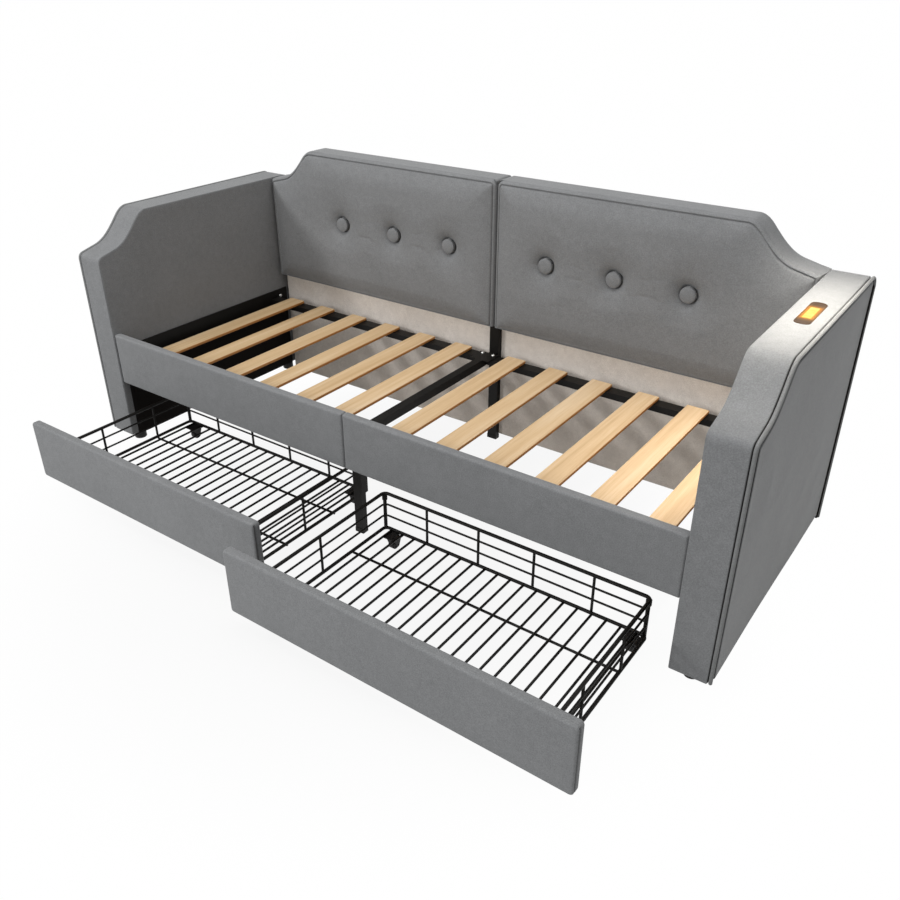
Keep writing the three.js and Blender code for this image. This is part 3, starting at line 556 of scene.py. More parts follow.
def notch(corner, along, up):
    """The stretches of a notch from its shelf corner to the top."""
    p = [(corner[0] + along * a, corner[1] + up * u) for a, u in NOTCH_SHARES]
    return [(p[0], p[1]), (p[1], p[2], p[3], p[4]), (p[4], p[5], p[6])]


def circle(radius, count, centre=(0, 0)):
    angles = [2 * math.pi * n / count for n in range(count)]
    return [(centre[0] + radius * math.cos(a), centre[1] + radius * math.sin(a)) for a in angles]


def skin(rings, capped=False):
    """Faces from each ring of point numbers to the next, and over both end rings if capped."""
    faces = []
    for low, high in zip(rings, rings[1:]):
        for n in range(len(low)):
            m = (n + 1) % len(low)
            faces.append(tuple(dict.fromkeys((low[n], low[m], high[m], high[n]))))
    return faces + [tuple(rings[0][::-1]), tuple(rings[-1])] if capped else faces


def ring_numbers(count, sides):
    return np.arange(count * sides).reshape(count, sides).tolist()


def tube(points, radius, sides=12, closed=False, rounded_ends=False):
    """A round tube along points, with its ring turned smoothly from one to the next."""
    points = np.array(points, float)
    radii = np.full(len(points), radius)
    if rounded_ends:
        turn = np.radians([80, 60, 40, 20])
        thin = radius * np.cos(turn)
        caps = []
        for end, nearest in ((0, 1), (-1, -2)):
            away = points[end] - points[nearest]
            caps.append(points[end] + np.outer(np.sin(turn), away / np.linalg.norm(away)) * radius)
        points = np.vstack([caps[0], points, caps[1][::-1]])
        radii = np.concatenate([thin, radii, thin[::-1]])
    if closed:
        before = np.roll(points, 1, axis=0)
        after = np.roll(points, -1, axis=0)
    else:
        before = np.vstack([points[:1] * 2 - points[1:2], points[:-1]])
        after = np.vstack([points[1:], points[-1:] * 2 - points[-2:-1]])
    tangent = after - before
    tangent /= np.linalg.norm(tangent, axis=1)[:, None]
    normal = np.cross(tangent[0], (0, 0, 1))
    if np.linalg.norm(normal) < 0.1:
        normal = np.cross(tangent[0], (0, 1, 0))
    verts = []
    for point, direction, reach in zip(points, tangent, radii):
        normal = normal - direction * (normal @ direction)
        normal /= np.linalg.norm(normal)
        binormal = np.cross(direction, normal)
        verts += [point + reach * (c * normal + s * binormal) for c, s in circle(1, sides)]
    rings = ring_numbers(len(points), sides)
    return verts, skin(rings + rings[:1]) if closed else skin(rings, capped=True)


def lathe(profile, sides=40):
    """A turned form: profile holds (radius, height) from one end of the axis to the other."""
    verts, rings = [], []
    for radius, height in profile:
        ring = circle(radius, sides) if radius else [(0, 0)]
        rings.append([len(verts) + n % len(ring) for n in range(sides)])
        verts += [(x, y, height) for x, y in ring]
    return np.array(verts), skin(rings)


def turned(name, node, profile, sides, base, axis, material, body, slot):
    """A turned piece in a node's place: its profile starts from base and runs along one axis."""
    points, faces = lathe(profile, sides)
    n = [abs(c) for c in axis].index(1)
    placed = np.zeros(points.shape)
    placed[:, [(n + 1) % 3, (n + 2) % 3, n]] = points * (axis[n], 1, axis[n])
    piece = new_piece(name, placed + base, faces, material, body, slot)
    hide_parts(node)


def arc(centre, radius, start, end, steps=6):
    """Points along a round corner, angles in degrees."""
    angles = np.radians(np.linspace(start, end, steps + 1))
    return [(centre[0] + radius * math.cos(a), centre[1] + radius * math.sin(a)) for a in angles]


def combine(parts):
    """Several (points, faces) pairs as one."""
    verts, faces = [], []
    for points, quads in parts:
        faces += [tuple(i + len(verts) for i in f) for f in quads]
        verts += [tuple(p) for p in points]
    return verts, faces


def bevelled(piece, width):
    bevel = piece.modifiers.new("soft_edges", "BEVEL")
    bevel.width = width
    bevel.segments = 2
    bevel.limit_method = "ANGLE"


# Cloth

CLOTH_SETTINGS = {"quality": 6, "mass": 0.3, "tension_stiffness": 12, "compression_stiffness": 12,
                  "shear_stiffness": 6, "bending_stiffness": 0.6, "use_pressure": True,
                  "uniform_pressure_force": 2.0}
CLOTH_FRAMES = 20
CLOTH_LIMIT = 0.004


def settle(points, faces, pinned, name):
    """Runs a short cloth simulation that swells the free points against the pinned ones."""
    trial = in_scene(name, new_mesh(name, points, faces))
    held = trial.vertex_groups.new(name="held")
    held.add([int(n) for n in np.nonzero(pinned)[0]], 1.0, "REPLACE")
    cloth = trial.modifiers.new("cloth", "CLOTH")
    for key, value in CLOTH_SETTINGS.items():
        setattr(cloth.settings, key, value)
    cloth.settings.vertex_group_mass = "held"
    cloth.settings.effector_weights.gravity = 0
    cloth.point_cache.frame_start = 1
    cloth.point_cache.frame_end = CLOTH_FRAMES
    for number in range(1, CLOTH_FRAMES + 1):
        bpy.context.scene.frame_set(number)
    shown = trial.evaluated_get(bpy.context.evaluated_depsgraph_get())
    moved = np.array([tuple(v.co) for v in shown.data.vertices])
    bpy.context.scene.frame_set(1)
    bpy.data.objects.remove(trial)
    change = moved - points
    length = np.linalg.norm(change, axis=1)
    share = np.minimum(1.0, CLOTH_LIMIT / np.maximum(length, 1e-9))
    return points + change * share[:, None]


# Arms

def arm_loop():
    """The arm's outline from the front bottom corner, clockwise over the top, as (y, z)."""
    shelf = ARM_TOP - NOTCH_DROP
    first = (NOTCH_SHARES[0][0] * NOTCH_WIDTH, shelf + NOTCH_SHARES[0][1] * NOTCH_DROP)
    return curve_points(
        ((0, ARM_BOTTOM), (0, shelf - SHELF_ROUND)),
        ((0, shelf - SHELF_ROUND), (0, shelf), first),
        *notch((0, shelf), NOTCH_WIDTH, NOTCH_DROP),
        ((NOTCH_WIDTH, ARM_TOP), (ARM_DEPTH - REAR_ROUND, ARM_TOP)),
        ((ARM_DEPTH - REAR_ROUND, ARM_TOP), (ARM_DEPTH, ARM_TOP), (ARM_DEPTH, ARM_TOP - REAR_ROUND)),
        ((ARM_DEPTH, ARM_TOP - REAR_ROUND), (ARM_DEPTH, ARM_BOTTOM)),
    )


def rear_flare(y):
    """How far the arm's outer panel stands out towards the rear."""
    share = np.clip((y - ARM_DEPTH / 4) / (ARM_DEPTH / 2), 0, 1)
    return REAR_FLARE * share * share * (3 - 2 * share)


def make_arm(name, side):
    """An upholstered arm: a notched panel, sewn along its inner edge and piped round its outer face."""
    outline = arm_loop()
    panel_face = ARM_OUTER - WELT_RADIUS
    top = outline[1:-1]
    stations = graded(0, ARM_DEPTH, GRID_STEP)
    high = np.interp(stations, top[:, 0], top[:, 1])
    rows = row_places(np.full(len(stations), ARM_BOTTOM), high, ARM_ROWS)
    middle = np.linspace(ARM_INNER + 0.014, panel_face - 0.015, 10)
    depths = np.concatenate([ARM_INNER + EDGE_STEPS[:7], middle, panel_face - EDGE_STEPS[7::-1]])
    grid, faces, plane, depth = block(stations, rows, depths)
    gap, inward = outline_field(plane, outline[::-1])
    end_gap = depth - ARM_INNER
    sewn = rounded(plane, depth, gap, inward, ARM_INNER, panel_face, ARM_EDGE)
    sewn = creased(*sewn, gap, inward, end_gap)
    welted = piped(plane, depth, gap, inward, panel_face, GROOVE_LOOSENESS[name])
    inner = end_gap < ARM_INNER_BAND
    plane = np.where(inner[:, None], sewn[0], welted[0])
    depth = np.where(inner, sewn[1], welted[1])
    # Painted shade in the piping's groove; none on the sewn inner edge
    recess = np.where(inner, 0, welted[2])
    depth += rear_flare(plane[:, 0]) * np.clip(1 - (panel_face - depth) / FLARE_REACH, 0, 1)
    points = np.stack([side * depth, plane[:, 0] + ARM_FRONT, plane[:, 1]], axis=1)
    sunk = np.abs(ripples(points, 11 + side, CLOTH_SAG_LENGTH, CLOTH_SAG))
    sunk *= np.clip(gap / CLOTH_SAG_FROM - 1, 0, 1)
    points[:, 0] += side * np.where(grid[:, 2] == 0, sunk, np.where(grid[:, 2] == len(depths) - 1, -sunk, 0))
    faces = faces[:, ::side]
    arm = new_piece(f"arm_cover_{name}", points, faces, UPHOLSTERY, "daybed", "upholstery", recess)
    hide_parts(f"arm_{name}")
    run = np.vstack([outline[1:] - outline[:-1], outline[-1:] - outline[-2:-1]])
    run = run + np.vstack([run[:1], run[:-1]])
    run /= np.hypot(run[:, 0], run[:, 1])[:, None]
    seam = outline + np.stack([run[:, 1], -run[:, 0]], axis=1) * WELT_INSET
    drop = np.where(seam[:, 0] > ARM_DEPTH / 2, ARM_TOP - seam[:, 1], 0)
    stand_off = rear_flare(seam[:, 0]) + REAR_STAND_OFF * np.interp(drop, REAR_STAND_OFF_DROPS, (0, 1))
    path = [(side * (panel_face + off), y + ARM_FRONT, max(z, ARM_BOTTOM + WELT_LIFT))
            for off, (y, z) in zip(stand_off, seam)]
    welt = tube(path, WELT_RADIUS, 14, rounded_ends=True)
    new_piece(f"arm_welt_{name}", *welt, WELT_CLOTH, "daybed", "upholstery")
    # Painted shade: a black cord down the rear edge stands in for the shade along it
    rear = ARM_DEPTH + ARM_FRONT - REAR_SHADE_CORD_INSET
    heights = np.linspace(ARM_BOTTOM + REAR_SHADE_CORD_INSET / 2, ARM_TOP - REAR_ROUND, 40)
    rear_shade_cord_x = panel_face + REAR_SHADE_CORD_STAND_OFF + rear_flare(ARM_DEPTH)
    rear_shade_cord = tube([(side * rear_shade_cord_x, rear, z) for z in heights], REAR_SHADE_CORD_RADIUS, 12, rounded_ends=True)
    new_piece(f"arm_rear_shade_cord_{name}", *rear_shade_cord, BLACK_CLOTH, "daybed", "black_lining")


# Back

def pad_rows(high):
    """Heights of a pad's rows at each station: fine beside the buttons, stretched above to the outline."""
    fixed = spread(PAD_BOTTOM + EDGE_STEPS[-1], ROW_SPLIT, GRID_STEP, spots=(BUTTON_HEIGHT,), **TUFT_GRID)
    fixed = np.concatenate([PAD_BOTTOM + EDGE_STEPS[:-1], fixed])
    share = np.linspace(0, 1, ROWS_ABOVE + 1)[1:]
    above = ROW_SPLIT * (1 - share) + (high[:, None] - EDGE_STEPS[-1]) * share
    ends = high[:, None] - EDGE_STEPS[-2::-1]
    return np.hstack([np.broadcast_to(fixed, (len(high), len(fixed))), above, ends])


def make_back(name, side):
    """One tufted back pad."""
    shelf = PAD_TOP - NOTCH_DROP
    top = curve_points(
        ((PAD_OUTER, shelf), (PAD_OUTER - 1e-4, shelf)),
        *notch((PAD_OUTER, shelf), -NOTCH_WIDTH, NOTCH_DROP),
        ((PAD_OUTER - NOTCH_WIDTH, PAD_TOP), (PAD_INNER + PAD_TOP_ROUND, PAD_TOP)),
        ((PAD_INNER + PAD_TOP_ROUND, PAD_TOP), (PAD_INNER, PAD_TOP), (PAD_INNER, PAD_TOP - PAD_TOP_ROUND)),
    )
    loop = np.vstack([[(PAD_INNER, PAD_BOTTOM), (PAD_OUTER, PAD_BOTTOM)], top])
    buttons = [x + side * BUTTON_SHIFT for x in BUTTON_X]
    stations = graded(PAD_INNER, PAD_OUTER, GRID_STEP, spots=buttons, **TUFT_GRID)
    rows = pad_rows(np.interp(stations, top[::-1, 0], top[::-1, 1]))
    depths = np.linspace(PAD_BORDER_FACE, PAD_REAR - 0.012, 12)
    depths = np.concatenate([depths, PAD_REAR - EDGE_STEPS[7::-1]])
    grid, faces, plane, depth = block(stations, rows, depths)
    gap, inward = outline_field(plane, loop)
    # Only the rear edge is rounded here, so the near end is set far off
    plane, depth = rounded(plane, depth, gap, inward, PAD_BORDER_FACE - 1.0, PAD_REAR, PAD_REAR_ROUND)
    front = np.nonzero(grid[:, 2] == 0)[0]
    corner = curve_points(((PAD_INNER + SEAM_ROUND, PAD_TOP), (PAD_INNER + SEAM_ROUND / 2, PAD_TOP),
                           (PAD_INNER, PAD_TOP - SEAM_ROUND / 2), (PAD_INNER, PAD_TOP - SEAM_ROUND)))
    kept = top[top[:, 0] > PAD_INNER + SEAM_ROUND]
    seam_loop = np.vstack([loop[:2] - (0, PAD_TURN_UNDER), kept, corner])
    seam_gap = outline_field(plane[front], seam_loop)[0]
    depth[front] = pad_face(plane[front], seam_gap, buttons, 41 + side)
    points = np.stack([plane[:, 0], depth, plane[:, 1]], axis=1)
    cells = np.zeros((len(stations), rows.shape[1]), int)
    cells[grid[front, 0], grid[front, 1]] = front
    gaps = np.zeros(len(points))
    gaps[front] = seam_gap
    points[cells] += swelling(points[cells], gaps[cells], buttons, f"trial_{name}")
    by_arm = np.clip((points[:, 0] - PAD_OUTER) / PAD_SWELL_REACH + 1, 0, 1)
    behind = np.clip((points[:, 1] - PAD_BORDER_FACE) / PAD_SWELL_DEPTH, 0, 1)
    points[:, 0] += PAD_SWELL * by_arm * behind
    points[:, 0] *= side
    points[:, 1] += ARM_FRONT
    # Painted shade along the sewn seam, and full on the pad's side edge in the gap beside the arm
    recess = np.zeros(len(points))
    upright = (plane[front, 0] < PAD_INNER + INNER_SEAM_BAND) & (plane[front, 1] < PAD_TOP - INNER_SEAM_BAND)
    shade = np.where(upright, INNER_SEAM_SHADE[name], SEAM_SHADE)
    recess[front] = shade * np.exp(-((seam_gap - PAD_SEAM_INSET) / SEAM_WIDTH) ** 2)
    edge = np.abs(points[:, 0]) > PAD_OUTER - PAD_SIDE_BAND
    recess[edge & (points[:, 2] < shelf - PAD_SEAM_INSET)] = 1.0
    faces = faces[:, ::side]
    pad = new_piece(f"back_cushion_{name}", points, faces, UPHOLSTERY, "daybed", "upholstery", recess)
    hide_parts(f"back_pad_{name}")


def pad_face(plane, gap, buttons, seed):
    """How far back the face of a pad lies: a rolled border, a sewn seam, the crown and the tufts."""
    border = np.clip(1 - gap / PAD_SEAM_INSET, 0, 1)
    roll = (PAD_BORDER_FACE - PAD_SEAM_FACE) * (1 - np.sqrt(1 - border ** 2))
    seam = SEAM_DEPTH * np.exp(-((gap - PAD_SEAM_INSET) / SEAM_WIDTH) ** 2)
    inside = np.clip(gap - PAD_SEAM_INSET, 0, None)
    crown = PAD_CROWN * sum(share * (1 - np.exp(-inside / reach)) for share, reach in PAD_CROWN_SHARES)
    depth = PAD_SEAM_FACE + roll + seam - crown
    random = np.random.default_rng(seed)
    for x in buttons:
        across, up = plane[:, 0] - x, plane[:, 1] - BUTTON_HEIGHT
        away = np.hypot(across, up)
        turn = np.arctan2(up, across)
        beyond = np.clip(away - TUFT_EDGE, 0, None)
        folds = sum(np.sin(count * turn + random.uniform(0, 2 * math.pi)) / count for count in (3, 5, 7, 11))
        depth += TUFT_DEPTH * np.exp(-(beyond / TUFT_REACH) ** 1.15) * (1 + TUFT_FOLDS * folds)
        depth += PIT_DEPTH / (1 + np.exp(np.clip((away - TUFT_EDGE + PIT_INSET) / PIT_WALL, None, 60)))
    return depth


def swelling(face, gap, buttons, name):
    """How far the cloth of a pad's face moves when it settles, held at its seam and at its buttons."""
    picks = [np.unique(np.append(np.arange(0, count, SWELL_STRIDE), count - 1)) for count in face.shape[:2]]
    coarse = face[np.ix_(*picks)]
    place = coarse.reshape(-1, 3)
    away = np.min([np.hypot(place[:, 0] - x, place[:, 2] - BUTTON_HEIGHT) for x in buttons], axis=0)
    held = (gap[np.ix_(*picks)].ravel() < PAD_SEAM_INSET + 0.0005) | (away < TUFT_HOLD)
    across, up = coarse.shape[:2]
    cell = np.arange(across * up).reshape(across, up)
    quads = np.stack([cell[:-1, :-1], cell[1:, :-1], cell[1:, 1:], cell[:-1, 1:]], axis=-1).reshape(-1, 4)
    moved = settle(place, quads, held, name) - place
    moved = moved.reshape(across, up, 3)
    rows = np.arange(face.shape[1])
    columns = np.arange(face.shape[0])
    result = np.zeros(face.shape)
    for axis in range(3):
        filled = np.stack([np.interp(rows, picks[1], line) for line in moved[:, :, axis]])
        result[:, :, axis] = np.stack([np.interp(columns, picks[0], line) for line in filled.T], axis=1)
    return result


# Covered boards

BOARD_STEPS = EDGE_STEPS[:6]
SEWN_PULL = 0.0028
SEWN_SHADE = 0.6
SEWN_FROM_FACE = 0.0065
SEWN_WIDTH = 0.0022
BOARD_CROWN_REACH = 0.02
BOARD_CLEARANCE = 0.0005


def rounded_loop(x0, x1, z0, z1, corner, steps=6):
    """A rectangle with round corners, counterclockwise."""
    loop = []
    for cx, cz, start in ((x1, z0, -90), (x1, z1, 0), (x0, z1, 90), (x0, z0, 180)):
        cx += corner if cx == x0 else -corner
        cz += corner if cz == z0 else -corner
        loop += arc((cx, cz), corner, start, start + 90, steps)
    return np.array(loop)


def loose_board(name, side, box, material, body, slot, corner=0.004, edge=0.003, crown=0.0,
                unevenness=0.0006, wavelength=0.12, seed=3, sewn=False):
    """A cloth-covered board: rounded corners and edges, a slight crown and an uneven face."""
    x0, x1, y0, y1, z0, z1 = box
    loop = rounded_loop(x0, x1, z0, z1, corner)
    stations = graded(x0, x1, GRID_STEP)
    rise = np.interp(np.minimum(stations - x0, x1 - stations), *corner_rise(corner))
    rows = row_places(z0 + rise, z1 - rise, max(6, round((z1 - z0) / GRID_STEP)))
    middle = np.linspace(y0 + BOARD_STEPS[-1], y1 - BOARD_STEPS[-1], 9 if sewn else 5)[1:-1]
    depths = np.concatenate([y0 + BOARD_STEPS, middle, y1 - BOARD_STEPS[::-1]])
    grid, faces, plane, depth = block(stations, rows, depths)
    gap, inward = outline_field(plane, loop)
    end_gap = depth - y0
    plane, depth = rounded(plane, depth, gap, inward, y0, y1, min(edge, (y1 - y0) / 2))
    recess = np.zeros(len(gap))
    # Sewn ends are drawn in, with painted shade along the seam
    if sewn:
        ends = (np.abs(inward[:, 0]) > 0.8) & (gap < 3 * MM)
        share = np.where(ends, np.exp(-((end_gap - SEWN_FROM_FACE) / SEWN_WIDTH) ** 2), 0)
        plane = plane + inward * SEWN_PULL * share[:, None]
        recess = SEWN_SHADE * share
    points = np.stack([plane[:, 0], depth, plane[:, 1]], axis=1)
    bulge = crown * (1 - np.exp(-gap / BOARD_CROWN_REACH))
    bulge += ripples(points, seed, wavelength, unevenness) * np.clip(gap / BOARD_CROWN_REACH, 0, 1)
    points[:, 1] -= np.where(grid[:, 2] == 0, bulge, 0)
    points[:, 0] *= side
    return new_piece(name, points, faces[:, ::side], material, body, slot, recess)


def corner_rise(corner):
    """How far a rounded corner's outline stands off the straight edge, by distance from the end."""
    away = np.linspace(0, corner, 12)
    return away, corner - np.sqrt(np.maximum(corner ** 2 - (corner - away) ** 2, 0))


def half_box(node):
    """A node's box as x0, x1, y0, y1, z0, z1, with x measured outwards from the middle."""
    low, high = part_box(node)
    return (*sorted((abs(low[0]), abs(high[0]))), low[1], high[1], low[2], high[2])


def make_boards(name, side):
    """The lined board under the back pad, the front board and the drawer front."""
    box = (*half_box(f"back_board_{name}")[:5], LINING_TOP)
    lining = loose_board(f"back_lining_{name}", side, box, CREAM, "daybed", "cream_lining")
    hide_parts(f"back_board_{name}")
    x0, x1, *rest = half_box(f"front_board_{name}")
    cloth = {"edge": 0.007, "crown": 0.0012, "unevenness": 0.0004, "wavelength": 0.2}
    board = loose_board(f"front_board_cover_{name}", side, (x0, max(x1, ARM_INNER - BOARD_CLEARANCE), *rest),
                        UPHOLSTERY, "daybed", "upholstery", seed=21 + side, **cloth)
    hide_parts(f"front_board_{name}")
    front = loose_board(f"drawer_front_cover_{name}", side, half_box(f"drawer_front_{name}"), UPHOLSTERY,
                        f"drawer_{name}", "upholstery", corner=0.010, seed=31 + side, sewn=True, **cloth)
    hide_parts(f"drawer_front_{name}")


BUTTON_PROFILE = [(0, -0.008), (0.0225, -0.008), (0.0245, -0.004)]
BUTTON_PROFILE += arc((0.0215, 0.0030), 0.0037, -30, 60, 8)
BUTTON_PROFILE += [(0.0225 * math.cos(a), 0.0056 + 0.0040 * math.sin(a)) for a in np.linspace(0.35, 1.45, 9)]
BUTTON_PROFILE += [(0, 0.0097)]


def make_button(name, number):
    """A covered button: a low dome with a rolled rim, seated in its tuft."""
    node = f"button_{name}_{number}"
    _, high, middle = box_of(node)
    base = (middle[0] + BUTTON_SHIFT, high[1] + BUTTON_SINK, BUTTON_HEIGHT)
    profile = [(radius * BUTTON_WIDTH_SHARE, height) for radius, height in BUTTON_PROFILE]
    turned(f"tuft_{node}", node, profile, 48, base, (0, -1, 0), UPHOLSTERY, "daybed", "upholstery")


# Wire baskets on casters

RIM_RADIUS = 0.0048
CORNER_RADIUS = 0.0052
POST_RADIUS = 0.0036
FLOOR_RADIUS = 0.0034
MIDDLE_RADIUS = 0.0029
BASKET_CORNER = 0.014
BASKET_FLOOR = 0.044
BASKET_RIM = 0.158
MIDDLE_HEIGHTS = (0.0855, 0.122)
FLOOR_WIRES = 20
FLOOR_PITCH = 0.0391
END_POST_PITCH = 0.167
SIDE_POSTS_FROM_REAR = (0.140, 0.333)
INNER_POST_FROM_REAR = 0.260
WHEEL_RADIUS = 0.015
WHEEL_WIDTH = 0.018
CASTER_FROM_LEFT = 0.043
CASTER_FROM_RIGHT = 0.027
CASTER_IN_Y = 0.018
PLATE_HALF = 0.023
PLATE_REACH = 0.042
HOLE_ASIDE = 0.012
HOLE_IN_Y = 0.0075
CHEEK = 0.005
WHEEL_GAP = 0.0012
PLATE_TOP = 0.0419
PLATE_BOTTOM = 0.0389
WELD_OVERLAP = 0.0004
POST_BEND = 0.006
CLIP_DROP = 0.0200
CLIP_PROFILE = [(0, 0), (0.0056, 0), *arc((0.0056, 0.0018), 0.0018, -90, 0, 4),
                *arc((0.0056, 0.0162), 0.0018, 0, 90, 4), (0, 0.0180)]
HOLE_RADIUS = 0.004
HOLE_SIDES = 16
HOOD_HALF = 0.0135
HOOD_ROOF = 0.0312
CHEEK_SHOULDER = 0.031
CHEEK_ROUND = 0.0065
AXLE_RADIUS = 0.0022
TREAD_ROUND = 0.0014
CASTER_EDGE = 0.0008


def basket_frame(name):
    """Centre x, half width, front and rear rim centres of one basket, from the frame."""
    low, high, middle = box_of(f"drawer_basket_{name}")
    return middle[0], (high[0] - low[0]) / 2 - RIM_RADIUS, low[1] + RIM_RADIUS, high[1] - RIM_RADIUS


def make_basket(name, side):
    """The welded wire basket, every wire round."""
    centre, half, front, rear = basket_frame(name)
    loop = rounded_loop(centre - half, centre + half, front, rear, BASKET_CORNER, 8)
    rings = [(z, RIM_RADIUS, 12) for z in (BASKET_FLOOR, BASKET_RIM)]
    rings += [(z, MIDDLE_RADIUS, 10) for z in MIDDLE_HEIGHTS]
    parts = [tube([(x, y, z) for x, y in loop], radius, sides, True) for z, radius, sides in rings]
    cut = BASKET_CORNER * (1 - math.sqrt(0.5))
    inner = centre - side * half
    outer = centre + side * half
    for x in (centre - half + cut, centre + half - cut):
        for y in (front + cut, rear - cut):
            parts.append(post(x, y, CORNER_RADIUS))
            points, faces = lathe(CLIP_PROFILE, 20)
            parts.append((points + np.array((x, y, BASKET_RIM - CLIP_DROP)), faces))
    for step in (-1.5, -0.5, 0.5, 1.5):
        for y in (front, rear):
            parts.append(post(centre + step * END_POST_PITCH, y, POST_RADIUS))
    low = BASKET_FLOOR - FLOOR_RADIUS - POST_RADIUS + WELD_OVERLAP
    for y in [rear - from_rear for from_rear in SIDE_POSTS_FROM_REAR]:
        turn = [(outer - side * POST_BEND * (1 - math.cos(a)), y, low + POST_BEND * (1 - math.sin(a)))
                for a in np.linspace(0.3, 1.27, 4)]
        path = [(outer, y, BASKET_RIM), (outer, y, low + POST_BEND), *turn]
        path += [(outer - side * POST_BEND, y, low), (inner, y, low)]
        parts.append(tube(path, POST_RADIUS, 12))
    parts.append(post(inner, rear - INNER_POST_FROM_REAR, POST_RADIUS))
    for n in range(FLOOR_WIRES):
        x = centre + (n - (FLOOR_WIRES - 1) / 2) * FLOOR_PITCH
        parts.append(tube([(x, front, BASKET_FLOOR), (x, rear, BASKET_FLOOR)], FLOOR_RADIUS, 10))
    basket = new_piece(f"wire_basket_{name}", *combine(parts), STEEL, f"drawer_{name}", "black_steel")
    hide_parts(f"drawer_basket_{name}")


def post(x, y, radius):
    return tube([(x, y, BASKET_FLOOR), (x, y, BASKET_RIM)], radius, 12)


def make_casters(name, side):
    """Four small fixed casters under one basket, their plates all turned the same way."""
    centre, half, front, rear = basket_frame(name)
    for end, y0, inward in (("front", front, 1), ("rear", rear, -1)):
        for where, x_sign in (("inner", -side), ("outer", side)):
            label = f"{name}_{end}_{where}"
            x = centre + x_sign * (half - (CASTER_FROM_RIGHT if x_sign > 0 else CASTER_FROM_LEFT))
            y = y0 + inward * CASTER_IN_Y
            housing(label, name, y0, inward, x, y)
            wheel(label, x, y)


def housing(label, name, y0, inward, x, y):
    """A plate with a hole, and a hood with two rounded cheeks."""
    plate_y = sorted((y0, y0 + inward * PLATE_REACH))
    hole = (x + HOLE_ASIDE, y0 + inward * HOLE_IN_Y)
    parts = [holed_plate((x - PLATE_HALF, x + PLATE_HALF), plate_y, hole)]
    inside = WHEEL_WIDTH / 2 + WHEEL_GAP
    left = [(y - HOOD_HALF, PLATE_BOTTOM), (y - HOOD_HALF, CHEEK_SHOULDER)]
    right = [(y + HOOD_HALF, CHEEK_SHOULDER), (y + HOOD_HALF, PLATE_BOTTOM)]
    side_view = left + arc((y, WHEEL_RADIUS), CHEEK_ROUND, 195, 345, 11) + right
    for near in (x - inside - CHEEK, x + inside):
        parts.append(prism(side_view, near, near + CHEEK))
    roof = [(y - HOOD_HALF, HOOD_ROOF), (y + HOOD_HALF, HOOD_ROOF), right[-1], left[0]]
    parts.append(prism(roof, x - inside, x + inside))
    piece = new_piece(f"caster_housing_{label}", *combine(parts), PLASTIC, f"drawer_{name}", "black_plastic")
    piece.data.shade_flat()
    bevelled(piece, CASTER_EDGE)


def prism(outline, x0, x1):
    """A closed prism along X over a counterclockwise (y, z) outline."""
    points = [(x, y, z) for x in (x0, x1) for y, z in outline]
    return points, skin(ring_numbers(2, len(outline)), capped=True)


def holed_plate(xs, ys, hole):
    """A rectangular plate with a round hole through it."""
    rim = []
    spokes = circle(1, HOLE_SIDES)
    for c, s in spokes:
        reach = min((xs[c > 0] - hole[0]) / c if abs(c) > 1e-6 else 1e9,
                    (ys[s > 0] - hole[1]) / s if abs(s) > 1e-6 else 1e9)
        rim.append((hole[0] + reach * c, hole[1] + reach * s))
    for corner in [(x, y) for x in xs for y in ys]:
        ahead = [c * (corner[0] - hole[0]) + s * (corner[1] - hole[1]) for c, s in spokes]
        rim[ahead.index(max(ahead))] = corner
    edge = circle(HOLE_RADIUS, HOLE_SIDES, hole)
    layers = ((rim, PLATE_TOP), (edge, PLATE_TOP), (edge, PLATE_BOTTOM), (rim, PLATE_BOTTOM))
    rings = ring_numbers(len(layers), HOLE_SIDES)
    return [(x, y, z) for ring, z in layers for x, y in ring], skin(rings + rings[:1])


def wheel(label, x, y):
    """A small wheel with a rounded tread, hollow sides and stub axles."""
    half = WHEEL_WIDTH / 2
    stub = half + WHEEL_GAP + CHEEK
    tread = WHEEL_RADIUS - TREAD_ROUND
    profile = [(0, -stub), (AXLE_RADIUS, -stub), (AXLE_RADIUS, 0.002 - half), (0.009, 0.0026 - half)]
    profile += [(0.0115, 0.0004 - half), (tread, -half)]
    profile += arc((tread, TREAD_ROUND - half), TREAD_ROUND, -90, 0, 4)
    profile += [(radius, -height) for radius, height in reversed(profile)]
    node = f"wheel_{label}"
    base = (x, y, WHEEL_RADIUS)
    turned(f"caster_{node}", node, profile, 40, base, (1, 0, 0), PLASTIC, node, "black_plastic")


# Small hardware

FOOT_ROUND = 0.003
BOLT_HEAD = 0.006
BOLT_SHANK = 0.009
LENS_CORNER = 0.0147
LENS_EDGE = ((0.0, -0.0010), (0.0005, -0.0002), (0.0013, 0.0002), (0.0024, 0.0), (0.0032, -0.0004),
             (0.0040, -0.0005))
PANEL_CORNER = 0.002
PANEL_EDGE = ((0.0, -0.0004), (0.0008, 0.0))


def make_foot(node):
    """A turned plastic foot, rounded at its base and chamfered at its top."""
    low, high, middle = box_of(node)
    radius = (high[0] - low[0]) / 2
    height = high[2] - low[2]
    inner = radius - FOOT_ROUND
    profile = [(0, 0), (inner, 0), *arc((inner, FOOT_ROUND), FOOT_ROUND, -90, 0, 4)]
    profile += [(radius - 0.0004, 0.012), (radius - 0.0015, height - 0.002)]
    profile += [(radius - 0.0035, height), (0, height)]
    base = (middle[0], middle[1], low[2])
    turned(f"turned_{node}", node, profile, 48, base, (0, 0, 1), PLASTIC, "daybed", "black_plastic")


